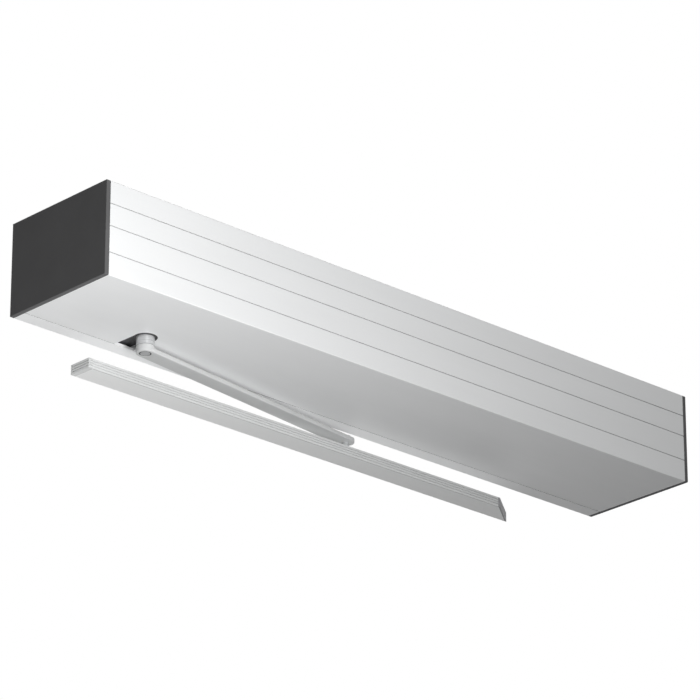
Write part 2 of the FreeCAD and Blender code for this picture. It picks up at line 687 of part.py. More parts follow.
def spindle():
    """Turned output spindle with a square stub below for the arm and a screw hole in its end."""
    top = RACK_PINION_TOP + NUT_HEIGHT + PINION_EXTRA
    body = turned([(0, STUB_Z), (SPINDLE_R, STUB_Z), (SPINDLE_R, CASE_Z), (SEAT_R, CASE_Z),
                   (SEAT_R, COLLAR_Z), (COLLAR_R, COLLAR_Z), (COLLAR_R, OUTPUT_Z), (SEAT_R, OUTPUT_Z),
                   (SEAT_R, top), (0, top)], SPINDLE)
    body = body.fuse(turn_with_arm(spindle_stub()))
    end = ARM_Z + ARM_SCREW_HEAD + ARM_SCREW_GRIP
    return body.cut(cylinder(ARM_SCREW_R, STUB_Z - STUB_LENGTH, end, SPINDLE))


def spindle_stub():
    """Square drive below the spindle, drawn square to X."""
    half = STUB / 2
    return box(SPINDLE_X - half, SPINDLE_X + half, SPINDLE_Y - half, SPINDLE_Y + half,
               STUB_Z - STUB_LENGTH, STUB_Z)


def turn_with_arm(shape):
    """Turns a shape drawn along X about the spindle into the arm's direction."""
    shape.rotate(Vector(SPINDLE_X, SPINDLE_Y, 0), UPRIGHT, math.degrees(ARM_ANGLE))
    return shape


def arm_bar():
    """Flat bar with round ends, thicker at the spindle's square socket, with a hole for the slide pin."""
    half = ARM_WIDTH / 2
    tip = SPINDLE_X + ARM_LENGTH
    near = [Vector(SPINDLE_X, SPINDLE_Y + half, ARM_Z), Vector(SPINDLE_X - half, SPINDLE_Y, ARM_Z),
            Vector(SPINDLE_X, SPINDLE_Y - half, ARM_Z)]
    far = [Vector(tip, SPINDLE_Y - half, ARM_Z), Vector(tip + half, SPINDLE_Y, ARM_Z),
           Vector(tip, SPINDLE_Y + half, ARM_Z)]
    outline = Part.Wire([Part.Arc(*near).toShape(), Part.makeLine(near[2], far[0]),
                         Part.Arc(*far).toShape(), Part.makeLine(far[2], near[0])])
    bar = Part.Face(outline).extrude(Vector(0, 0, ARM_THICK))
    rims = [e for f in bar.Faces if f.normalAt(0, 0).cross(UPRIGHT).Length < NEAR for e in f.Edges]
    hub = turned([(0, ARM_Z + ARM_EDGE), (half, ARM_Z + ARM_EDGE), (half, STUB_Z - ARM_EDGE),
                  (half - ARM_EDGE, STUB_Z), (0, STUB_Z)], SPINDLE)
    bar = union([bar.makeChamfer(ARM_EDGE, rims), hub])
    cuts = [spindle_stub(), cylinder(ARM_SCREW_R, ARM_Z, STUB_Z - STUB_LENGTH, SPINDLE),
            cylinder(ARM_SCREW_HEAD_R + ARM_SCREW_GAP, ARM_Z, ARM_Z + ARM_SCREW_HEAD, SPINDLE),
            cylinder(SLIDE_PIN_R, ARM_Z, ARM_TOP, (tip, SPINDLE_Y))]
    return turn_with_arm(bar.cut(Part.makeCompound(cuts)))


def arm_screw():
    """Screw sunk flush in the arm's underside, its head closed by a plain cap."""
    head_top = ARM_Z + ARM_SCREW_HEAD
    end = head_top + ARM_SCREW_GRIP
    return turned([(0, ARM_Z), (ARM_SCREW_HEAD_R, ARM_Z), (ARM_SCREW_HEAD_R, head_top),
                   (ARM_SCREW_R, head_top), (ARM_SCREW_R, end), (0, end)], SPINDLE)


def hexagon(radius, z0, z1, place):
    """Upright hexagonal bar, radius over its corners."""
    corners = [(place[0] + radius * math.cos(math.pi * k / 3), place[1] + radius * math.sin(math.pi * k / 3))
               for k in range(6)]
    return along_z(corners, z0, z1)


def slide_pin():
    """Headed pin through the arm's tip, down into the slide block."""
    foot = CHANNEL_FLOOR + 2 * CLEAR
    return turned([(0, foot), (SLIDE_PIN_R, foot), (SLIDE_PIN_R, ARM_TOP), (PIN_HEAD_R, ARM_TOP),
                   (PIN_HEAD_R, ARM_TOP + PIN_HEAD), (0, ARM_TOP + PIN_HEAD)], (PIN_X, PIN_Y))


# Closing spring

def spring_pinion():
    """Pinion on the spindle's upper end that drives the rack."""
    low = RACK_Z - PINION_EXTRA
    teeth = gear(RACK_MODULE, RACK_PINION_TEETH, SPINDLE, math.pi / 2, low, RACK_PINION_TOP)
    hub = cylinder(COLLAR_R, BEARING_TOP + CLEAR, RACK_Z, SPINDLE)
    return teeth.fuse(hub).cut(cylinder(SEAT_R, BEARING_TOP, RACK_PINION_TOP, SPINDLE))


def spindle_nut():
    top = RACK_PINION_TOP + NUT_HEIGHT
    nut = hexagon(SEAT_R + NUT_WALL, RACK_PINION_TOP, top, SPINDLE)
    return nut.cut(cylinder(SEAT_R, RACK_PINION_TOP, top, SPINDLE))


def rack():
    """Toothed bar, rod and piston in one piece. A gap of the teeth faces the pinion's rearmost tooth."""
    root = RACK_PITCH_Y + DEDENDUM * RACK_MODULE
    tip = RACK_PITCH_Y - ADDENDUM * RACK_MODULE
    slope = math.tan(PRESSURE)
    half = RACK_PITCH / 4 - BACKLASH / 2
    half_root = half + (root - RACK_PITCH_Y) * slope
    half_tip = half - (RACK_PITCH_Y - tip) * slope
    points = []
    for k in range(-math.ceil(RACK_TRAVEL / RACK_PITCH) - 1, 2):
        middle = SPINDLE_X + (k + 0.5) * RACK_PITCH
        points += [(middle - half_root, root), (middle - half_tip, tip), (middle + half_tip, tip),
                   (middle + half_root, root)]
    left = points[0][0] - RACK_END
    outline = [(left, RACK_REAR_Y), (left, root)] + points + [(RACK_RIGHT, root), (RACK_RIGHT, RACK_REAR_Y)]
    bar = along_z(outline, RACK_Z, RACK_Z + RACK_HEIGHT)
    rod = cylinder_x(ROD_R, RACK_RIGHT - ROD_R, PISTON_LEFT, TUBE_AXIS_Y, TUBE_AXIS_Z)
    piston_r = TUBE_R - TUBE_WALL - CLEAR
    piston = cylinder_x(piston_r, PISTON_LEFT, PISTON_LEFT + PISTON, TUBE_AXIS_Y, TUBE_AXIS_Z)
    return union([bar, rod, piston])


def rack_guide():
    """Steel block on the lid behind the rack, which takes the thrust of the teeth."""
    face = RACK_REAR_Y + CLEAR
    x0, x1 = SPINDLE_X - GUIDE_LENGTH / 2, SPINDLE_X + GUIDE_LENGTH / 2
    return along_x([(face, LID_TOP), (RIB_FACE, LID_TOP), (RIB_FACE, RACK_Z + RACK_HEIGHT / 2),
                    (face + CASE_WALL, RACK_Z + RACK_HEIGHT),
                    (face, RACK_Z + RACK_HEIGHT)], x0, x1)


def spring_tube():
    outer = cylinder_x(TUBE_R, TUBE_LEFT, TUBE_RIGHT, TUBE_AXIS_Y, TUBE_AXIS_Z)
    return outer.cut(cylinder_x(TUBE_R - TUBE_WALL, TUBE_LEFT, TUBE_RIGHT, TUBE_AXIS_Y, TUBE_AXIS_Z))


def closing_spring():
    """Coil of square wire between the piston and the plug, as short straight spans along the helix."""
    start = PISTON_LEFT + PISTON
    length = TUBE_RIGHT - PLUG - start
    radius = TUBE_R - TUBE_WALL - SPRING_WIRE / 2 - 2 * CLEAR
    half = SPRING_WIRE / 2
    spans = int(SPRING_TURNS * SPRING_STEPS)
    sections = []
    for k in range(spans + 1):
        angle = 2 * math.pi * k / SPRING_STEPS
        x = start + half + (length - SPRING_WIRE) * k / spans
        corners = [(x - half, radius - half), (x + half, radius - half), (x + half, radius + half),
                   (x - half, radius + half)]
        sections.append([Vector(along, TUBE_AXIS_Y + r * math.cos(angle), TUBE_AXIS_Z + r * math.sin(angle))
                         for along, r in corners])
    outlines = [sections[0], sections[-1]]
    for near, far in zip(sections, sections[1:]):
        for k in range(4):
            turn = (k + 1) % 4
            outlines += [[near[k], near[turn], far[turn]], [near[k], far[turn], far[k]]]
    faces = [Part.Face(Part.makePolygon(o + o[:1])) for o in outlines]
    return Part.Solid(Part.Shell(faces))


def spring_plug():
    """Plug in the tube's right end that sets the spring's preload, with a hexagon socket."""
    plug = cylinder_x(TUBE_R - TUBE_WALL, TUBE_RIGHT - PLUG, TUBE_RIGHT, TUBE_AXIS_Y, TUBE_AXIS_Z)
    socket = hexagon(ROD_R, 0, PLUG / 2, (0, 0))
    socket.rotate(Vector(0, 0, 0), INWARD, 90)
    socket.translate(Vector(TUBE_RIGHT - PLUG / 2, TUBE_AXIS_Y, TUBE_AXIS_Z))
    return plug.cut(socket)


def tube_clamp():
    """Saddle that holds the tube's free end on the base profile."""
    x0, x1 = CLAMP_BOLT_X - CLAMP / 2, CLAMP_BOLT_X + CLAMP / 2
    low = -SLOT_HEIGHT - EAR_HALF
    leg = RIB_FACE - EAR_THICK
    over, under = TUBE_AXIS_Z + TUBE_R + EAR_THICK, TUBE_AXIS_Z - TUBE_R - EAR_THICK
    body = along_x([(RIB_FACE, low), (RIB_FACE, over), (TUBE_AXIS_Y, over), (TUBE_AXIS_Y, under),
                    (leg, under), (leg, low)], x0, x1)
    return body.cut(Part.makeCompound([cylinder_x(TUBE_R, x0, x1, TUBE_AXIS_Y, TUBE_AXIS_Z),
                                       bolt_neck(CLAMP_BOLT_X, -1, leg, RIB_FACE)]))


# Motor

def square(half, z0, z1, corner):
    """Square block with bevelled corners round the motor's axis."""
    block = box(MOTOR[0] - half, MOTOR[0] + half, MOTOR[1] - half, MOTOR[1] + half, z0, z1)
    return chamfer_upright(block, corner)


def motor_plate():
    """Mounting plate on the lid, with the shaft's bush bore."""
    plate = square(MOTOR_HALF, LID_TOP, STATOR_Z, MOTOR_CORNER)
    return plate.cut(cylinder(SHAFT_R + RUNNING, LID_TOP, STATOR_Z, MOTOR))


def windows(z0, z1):
    """Four square windows round the rotor, which the windings fill."""
    half = WINDOW / 2
    return [box(MOTOR[0] + sx * WINDOW_PLACE - half, MOTOR[0] + sx * WINDOW_PLACE + half,
                MOTOR[1] + sy * WINDOW_PLACE - half, MOTOR[1] + sy * WINDOW_PLACE + half, z0, z1)
            for sx in (-1, 1) for sy in (-1, 1)]


def motor_stator():
    """Square laminated stator with the rotor's bore and four winding windows."""
    top = STATOR_Z + STATOR
    bore = cylinder(ROTOR_R + AIR_GAP, STATOR_Z, top, MOTOR)
    block = square(MOTOR_HALF, STATOR_Z, top, MOTOR_CORNER)
    return block.cut(Part.makeCompound([bore] + windows(STATOR_Z, top)))


def motor_windings():
    return Part.makeCompound(windows(STATOR_Z, STATOR_Z + STATOR + COIL_PROUD))


def motor_cap():
    """Cup over the windings."""
    low = STATOR_Z + STATOR
    outer = square(MOTOR_HALF, low, low + MOTOR_CAP, MOTOR_CORNER)
    inner = square(MOTOR_HALF - MOTOR_WALL, low, low + MOTOR_CAP - MOTOR_WALL, MOTOR_CORNER - MOTOR_WALL)
    return outer.cut(inner)


def motor_rotor():
    """Flat-sided magnet rotor on the shaft."""
    corners = [(MOTOR[0] + ROTOR_R * math.cos(2 * math.pi * k / ROTOR_SIDES),
                MOTOR[1] + ROTOR_R * math.sin(2 * math.pi * k / ROTOR_SIDES)) for k in range(ROTOR_SIDES)]
    z0, z1 = STATOR_Z + CLEAR, STATOR_Z + STATOR
    return along_z(corners, z0, z1).cut(cylinder(SHAFT_R, z0, z1, MOTOR))


def motor_shaft():
    return cylinder(SHAFT_R, FAST_Z - 2 * PINION_EXTRA, STATOR_Z + STATOR + COIL_PROUD, MOTOR)


# Control side

def board_tray():
    """Folded tray on the T-slot ribs whose edges hold the control board in grooves."""
    plate = RIB_FACE - TRAY_THICK
    rear, front = BOARD_Y + CLEAR, BOARD_FACE - CLEAR
    inner = BOARD_HEIGHT / 2 + CLEAR
    outer = inner + TRAY_THICK
    lip = BOARD_HEIGHT / 2 - TRAY_LIP
    upper = [(RIB_FACE, outer), (front - TRAY_THICK, outer), (front - TRAY_THICK, lip), (front, lip),
             (front, inner), (rear, inner), (rear, lip), (rear + TRAY_THICK, lip),
             (rear + TRAY_THICK, inner), (plate, inner)]
    outline = upper + [(y, -z) for y, z in reversed(upper)]
    body = along_x(outline, BOARD_LEFT - EAR, BOARD_LEFT + BOARD_LENGTH + EAR)
    return body.cut(Part.makeCompound([bolt_neck(x, 1, plate, RIB_FACE) for x in TRAY_BOLTS]))


def control_board():
    half = BOARD_HEIGHT / 2
    return box(BOARD_LEFT, BOARD_LEFT + BOARD_LENGTH, BOARD_FACE, BOARD_Y, -half, half)


def on_board(left, width, z, height, depth):
    """A block that stands on the control board's front, left being measured along the board."""
    x0 = BOARD_LEFT + left
    return box(x0, x0 + width, BOARD_FACE - depth, BOARD_FACE, z, z + height)


def relays():
    lefts = [RELAY_LEFT + RELAY_PITCH * k for k in range(RELAYS)]
    return Part.makeCompound([on_board(left, RELAY_WIDTH, UPPER_ROW, RELAY_HEIGHT, RELAY_DEPTH)
                              for left in lefts])


def capacitor():
    return cylinder_y(CAPACITOR_R, BOARD_FACE - CAPACITOR_LENGTH, BOARD_FACE, BOARD_LEFT + CAPACITOR_LEFT,
                      UPPER_ROW + CAPACITOR_R)


def terminal_blocks():
    """Plug-in terminal strips along the lower edge, each with a row of wire entries."""
    low = -BOARD_HEIGHT / 2 + TERMINAL_EDGE
    face = BOARD_FACE - TERMINAL_DEPTH
    middle = low + TERMINAL_HEIGHT / 2
    half = WIRE_ENTRY / 2
    blocks = []
    for strip in range(TERMINALS):
        left = TERMINAL_LEFT + TERMINAL_STEP * strip
        block = on_board(left, TERMINAL_LENGTH, low, TERMINAL_HEIGHT, TERMINAL_DEPTH)
        entries = []
        for k in range(int(TERMINAL_LENGTH / WIRE_PITCH)):
            x = BOARD_LEFT + left + WIRE_PITCH * (k + 0.5)
            entries.append(box(x - half, x + half, face, face + WIRE_ENTRY, middle - half, middle + half))
        blocks.append(block.cut(Part.makeCompound(entries)))
    return Part.makeCompound(blocks)


def heat_sink():
    """Finned block for the motor's output stage."""
    fins = [on_board(SINK_LEFT + FIN_PITCH * k, FIN_THICK, UPPER_ROW, SINK_HEIGHT, SINK_PLATE + FIN_LENGTH)
            for k in range(FINS)]
    return union([on_board(SINK_LEFT, SINK_LENGTH, UPPER_ROW, SINK_HEIGHT, SINK_PLATE)] + fins)


def transformer_core():
    """Laminated core with a window each side of its centre limb."""
    half_w, half_h = CORE_WIDTH / 2, CORE_HEIGHT / 2
    front = CORE_REAR - CORE_THICK
    body = box(TRANSFORMER_X - half_w, TRANSFORMER_X + half_w, front, CORE_REAR, -half_h, half_h)
    cuts = []
    for s in (1, -1):
        x0, x1 = sorted((TRANSFORMER_X + s * CORE_LIMB, TRANSFORMER_X + s * (half_w - CORE_LIMB)))
        cuts.append(box(x0, x1, front, CORE_REAR, -half_h + CORE_LIMB, half_h - CORE_LIMB))
    return body.cut(Part.makeCompound(cuts))


def transformer_coil():
    """Winding round the centre limb, standing proud of the core front and rear."""
    half_x = CORE_WIDTH / 2 - CORE_LIMB
    half_z = CORE_HEIGHT / 2 - CORE_LIMB
    front = CORE_REAR - CORE_THICK
    block = box(TRANSFORMER_X - half_x, TRANSFORMER_X + half_x, front - COIL_PROUD_OF_CORE,
                CORE_REAR + COIL_PROUD_OF_CORE, -half_z, half_z)
    limb = box(TRANSFORMER_X - CORE_LIMB, TRANSFORMER_X + CORE_LIMB, front, CORE_REAR, -half_z, half_z)
    return chamfer_upright(block, COIL_BEVEL).cut(limb)


def transformer_frame():
    """Pressed strap round the core, with two ears on the T-slot ribs."""
    half_w, half_h = CORE_WIDTH / 2, CORE_HEIGHT / 2
    front = CORE_REAR - CORE_THICK
    plate = RIB_FACE - TRAY_THICK
    outer = half_w + TRAY_THICK
    right = [(outer, front - TRAY_THICK), (outer, plate), (FRAME_REACH, plate), (FRAME_REACH, RIB_FACE),
             (half_w, RIB_FACE), (half_w, front)]
    outline = right + [(-x, y) for x, y in reversed(right)]
    body = along_z([(TRANSFORMER_X + x, y) for x, y in outline], -half_h, half_h)
    window = box(TRANSFORMER_X - half_w + CORE_LIMB, TRANSFORMER_X + half_w - CORE_LIMB, front - TRAY_THICK,
                 front, -half_h + CORE_LIMB, half_h - CORE_LIMB)
    holes = [bolt_neck(x, 1, plate, RIB_FACE) for x in FRAME_BOLTS]
    return body.cut(Part.makeCompound([window] + holes))


# Rocker switch

def switch_body():
    """Switch housing with the rocker's well and three terminals behind."""
    front = LENGTH / 2 - SWITCH_RECESS
    rear = front - SWITCH_LENGTH
    well_y, well_z = SWITCH_HALF_Y - SWITCH_WALL, SWITCH_HALF_Z - SWITCH_WALL
    low, high = SWITCH_Z - SWITCH_HALF_Z, SWITCH_Z + SWITCH_HALF_Z
    body = box(rear, front, SWITCH_Y - SWITCH_HALF_Y, SWITCH_Y + SWITCH_HALF_Y, low, high)
    well = box(PIVOT_X - ROCKER_DIP, front, SWITCH_Y - well_y, SWITCH_Y + well_y,
               SWITCH_Z - well_z, SWITCH_Z + well_z)
    pivot = cylinder(ROCKER_PIN_R + RUNNING, low, high, (PIVOT_X, SWITCH_Y))
    blades = [box(rear - BLADE_LENGTH, rear, y - BLADE_HALF, y + BLADE_HALF,
                  SWITCH_Z - BLADE_THICK / 2, SWITCH_Z + BLADE_THICK / 2)
              for y in (SWITCH_Y - BLADE_PITCH, SWITCH_Y, SWITCH_Y + BLADE_PITCH)]
    return union([body.cut(Part.makeCompound([well, pivot]))] + blades)


def switch_rocker():
    """Rocker with a shallow dished top, on two pivot stubs."""
    back = PIVOT_X - ROCKER_KEEL
    top = PIVOT_X + ROCKER_RISE
    low, high = SWITCH_Y - ROCKER_HALF_Y, SWITCH_Y + ROCKER_HALF_Y
    outline = [(back, SWITCH_Y - ROCKER_KEEL), (PIVOT_X, low), (top, low), (PIVOT_X + ROCKER_DIP, SWITCH_Y),
               (top, high), (PIVOT_X, high), (back, SWITCH_Y + ROCKER_KEEL)]
    body = along_z(outline, SWITCH_Z - ROCKER_HALF_Z, SWITCH_Z + ROCKER_HALF_Z)
    reach = SWITCH_HALF_Z - CLEAR
    pivot = cylinder(ROCKER_PIN_R, SWITCH_Z - reach, SWITCH_Z + reach, (PIVOT_X, SWITCH_Y))
    return body.fuse(pivot).removeSplitter()


# Guide rail

def mitre_wedge(setback):
    """Everything right of the rail's slanted end, set back along X by a distance."""
    slope = RAIL_MITRE / RAIL_DEPTH
    front = RAIL_RIGHT - setback
    far = RAIL_RIGHT + RAIL_MITRE + RAIL_CAP
    return along_z([(front - slope * OVER, RAIL_FRONT - OVER),
                    (front + slope * (RAIL_DEPTH + OVER), RAIL_BACK + OVER),
                    (far, RAIL_BACK + OVER), (far, RAIL_FRONT - OVER)], RAIL_Z - OVER, RAIL_TOP + OVER)


def in_channel(x0, x1, clearance):
    """A block that fits the rail's channel with a clearance on its four long sides."""
    return box(x0, x1, CHANNEL_FRONT + clearance, CHANNEL_REAR - clearance,
               CHANNEL_FLOOR + clearance, CHANNEL_ROOF - clearance)


def hole_places():
    return [RAIL_HOLES_X + s * d / 2 for d in (RAIL_OUTER_HOLES, RAIL_INNER_HOLES) for s in (-1, 1)]


def guide_rail():
    """Extruded channel, open in a slot along its top, cut square at the left and on a slant at the right."""
    face = RAIL_FRONT + TRIM_THICK
    slot0, slot1 = PIN_Y - RAIL_SLOT / 2, PIN_Y + RAIL_SLOT / 2
    body = along_x([(face, RAIL_Z), (RAIL_BACK, RAIL_Z), (RAIL_BACK, RAIL_TOP), (slot1, RAIL_TOP),
                    (slot1, CHANNEL_ROOF), (CHANNEL_REAR, CHANNEL_ROOF), (CHANNEL_REAR, CHANNEL_FLOOR),
                    (CHANNEL_FRONT, CHANNEL_FLOOR), (CHANNEL_FRONT, CHANNEL_ROOF), (slot0, CHANNEL_ROOF),
                    (slot0, RAIL_TOP), (face, RAIL_TOP)], RAIL_LEFT + RAIL_CAP, RAIL_RIGHT + RAIL_MITRE)
    cuts = [mitre_wedge(MITRE_THICK)]
    middle = (CHANNEL_FLOOR + CHANNEL_ROOF) / 2
    for x in hole_places():
        cuts.append(cylinder_y(RAIL_HOLE_R, CHANNEL_REAR, RAIL_BACK, x, middle))
        cuts.append(box(x - RAIL_ACCESS, x + RAIL_ACCESS, face, CHANNEL_FRONT, CHANNEL_FLOOR, CHANNEL_ROOF))
    return body.cut(Part.makeCompound(cuts))


def groove_heights():
    pitch = RAIL_HEIGHT / (TRIM_GROOVES + 1)
    return [RAIL_Z + pitch * (k + 1) for k in range(TRIM_GROOVES)]


def rail_trim():
    """Ribbed strip on the rail's front, which hides the access to the fixing screws."""
    outline = [(RAIL_FRONT + TRIM_THICK, RAIL_Z), (RAIL_FRONT, RAIL_Z)]
    half = TRIM_GROOVE / 2
    for z in groove_heights():
        outline += [(RAIL_FRONT, z - half), (RAIL_FRONT + TRIM_GROOVE_DEPTH, z - half / 2),
                    (RAIL_FRONT + TRIM_GROOVE_DEPTH, z + half / 2), (RAIL_FRONT, z + half)]
    outline += [(RAIL_FRONT, RAIL_TOP), (RAIL_FRONT + TRIM_THICK, RAIL_TOP)]
    strip = along_x(outline, RAIL_LEFT + RAIL_CAP, RAIL_RIGHT + RAIL_MITRE)
    return strip.cut(mitre_wedge(MITRE_THICK))


def rail_cap_left():
    """Square cap whose ribs carry on those of the trim strip, with a tongue in the rail's channel."""
    right = RAIL_LEFT + RAIL_CAP
    body = box(RAIL_LEFT, right, RAIL_FRONT, RAIL_BACK, RAIL_Z, RAIL_TOP)
    tongue = in_channel(right, right + RAIL_CAP_TONGUE, RUNNING)
    half = TRIM_GROOVE / 2
    deep = TRIM_GROOVE_DEPTH
    cuts = []
    for z in groove_heights():
        section = [(-deep, half / 2), (-deep, -half / 2), (0, -half), (0, half)]
        cuts.append(along_x([(RAIL_FRONT - t, z + h) for t, h in section], RAIL_LEFT, right))
        cuts.append(prism([Vector(RAIL_LEFT - t, RAIL_FRONT, z + h) for t, h in section],
                          Vector(0, RAIL_DEPTH, 0)))
    return union([body, tongue]).cut(Part.makeCompound(cuts))


def rail_cap_right():
    """Flat cap on the slanted end, with a tongue in the rail's channel."""
    plate = box(RAIL_LEFT, RAIL_RIGHT + RAIL_MITRE, RAIL_FRONT, RAIL_BACK, RAIL_Z, RAIL_TOP)
    plate = plate.common(mitre_wedge(MITRE_THICK)).cut(mitre_wedge(0))
    tongue = in_channel(RAIL_LEFT, RAIL_RIGHT + RAIL_MITRE, RUNNING)
    tongue = tongue.common(mitre_wedge(MITRE_THICK + RAIL_CAP_TONGUE)).cut(mitre_wedge(MITRE_THICK))
    return union([plate, tongue])


def rail_buffers():
    """Rubber stops in the channel, against the tongues of the two caps."""
    left = RAIL_LEFT + RAIL_CAP + RAIL_CAP_TONGUE
    right = RAIL_RIGHT - MITRE_THICK - RAIL_CAP_TONGUE
    return Part.makeCompound([in_channel(x, x + BUFFER, RUNNING) for x in (left, right - BUFFER)])


def slide_block():
    """Plastic block in the channel, with a neck in the slot and a bore for the arm's pin."""
    half = BLOCK_LENGTH / 2
    neck = RAIL_SLOT / 2 - CLEAR
    high = RAIL_TOP + NECK_RISE
    body = chamfer_upright(in_channel(PIN_X - half, PIN_X + half, CLEAR), BLOCK_BEVEL)
    body = union([body, box(PIN_X - NECK_LENGTH / 2, PIN_X + NECK_LENGTH / 2, PIN_Y - neck, PIN_Y + neck,
                            CHANNEL_FLOOR + CLEAR, high)])
    return body.cut(cylinder(SLIDE_PIN_R + RUNNING, RAIL_Z, high, (PIN_X, PIN_Y)))


NODES = {
    "base_profile": base_profile,
    "cover": cover,
    "end_cap_left": end_cap_left,
    "end_cap_right": end_cap_right,
    "t_slot_bolts": t_slot_bolts,
    "gear_case": gear_case,
    "gear_case_lid": gear_case_lid,
    "spindle_bearings": spindle_bearings,
    "spindle": spindle,
    "output_gear": output_gear,
    "idler_pins": idler_pins,
    "idler_2_gear": idler_2_gear,
    "idler_2_pinion": idler_2_pinion,
    "idler_1_gear": idler_1_gear,
    "idler_1_pinion": idler_1_pinion,
    "motor_pinion": motor_pinion,
    "motor_shaft": motor_shaft,
    "motor_plate": motor_plate,
    "motor_stator": motor_stator,
    "motor_windings": motor_windings,
    "motor_cap": motor_cap,
    "motor_rotor": motor_rotor,
    "spring_pinion": spring_pinion,
    "spindle_nut": spindle_nut,
    "rack": rack,
    "rack_guide": rack_guide,
    "spring_tube": spring_tube,
    "closing_spring": closing_spring,
    "spring_plug": spring_plug,
    "tube_clamp": tube_clamp,
    "board_tray": board_tray,
    "control_board": control_board,
    "relays": relays,
    "capacitor": capacitor,
    "terminal_blocks": terminal_blocks,
    "heat_sink": heat_sink,
    "transformer_core": transformer_core,
    "transformer_coil": transformer_coil,
    "transformer_frame": transformer_frame,
    "switch_body": switch_body,
    "switch_rocker": switch_rocker,
    "arm_bar": arm_bar,
    "arm_screw": arm_screw,
    "slide_pin": slide_pin,
    "slide_block": slide_block,
    "guide_rail": guide_rail,
    "rail_trim": rail_trim,
    "rail_cap_left": rail_cap_left,
    "rail_cap_right": rail_cap_right,
    "rail_buffers": rail_buffers,
}

os.makedirs("parts", exist_ok=True)
for name, make in NODES.items():
    make().exportStep(f"parts/{name}.step")
print(f"{len(NODES)} nodes, arm pin at x {PIN_X:.3f}, y {PIN_Y:.3f}, rack travel {RACK_TRAVEL:.2f}")
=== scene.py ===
import math

import bmesh
import bpy
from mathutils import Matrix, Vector


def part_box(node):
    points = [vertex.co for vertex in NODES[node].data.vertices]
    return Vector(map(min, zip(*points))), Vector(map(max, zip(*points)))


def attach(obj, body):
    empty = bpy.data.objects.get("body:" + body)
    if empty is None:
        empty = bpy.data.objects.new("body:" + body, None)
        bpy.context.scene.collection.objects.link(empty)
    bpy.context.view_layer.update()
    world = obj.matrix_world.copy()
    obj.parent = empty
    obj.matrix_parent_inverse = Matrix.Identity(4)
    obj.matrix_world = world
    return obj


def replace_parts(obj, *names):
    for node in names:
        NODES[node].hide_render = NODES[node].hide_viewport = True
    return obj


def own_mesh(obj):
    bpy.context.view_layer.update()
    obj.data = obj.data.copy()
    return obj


bl_info = {
    "name": "Swing Door Operator",
    "version": (1, 0, 0),
    "blender": (4, 5, 0),
    "location": "View3D > Sidebar > Door Operator",
    "description": "Dresses the packed parts of a swing door operator and sets its stage",
    "category": "Object",
}

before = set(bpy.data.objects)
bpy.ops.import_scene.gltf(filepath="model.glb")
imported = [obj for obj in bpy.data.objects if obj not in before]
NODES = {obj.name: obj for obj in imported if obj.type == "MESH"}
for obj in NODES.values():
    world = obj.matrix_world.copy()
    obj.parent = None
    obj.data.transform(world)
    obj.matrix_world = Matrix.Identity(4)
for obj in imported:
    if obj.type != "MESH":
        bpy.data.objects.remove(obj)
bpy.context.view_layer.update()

MM = 0.001
TURN = 2 * math.pi
SHARP = math.radians(35.0)
ROUND_STEPS = 48
ARCH_STEPS = 8
EDGE_STEPS = 4
WAVE_SPACING = TURN / 20  # of a Wave texture's bands at scale 1


# Node trees


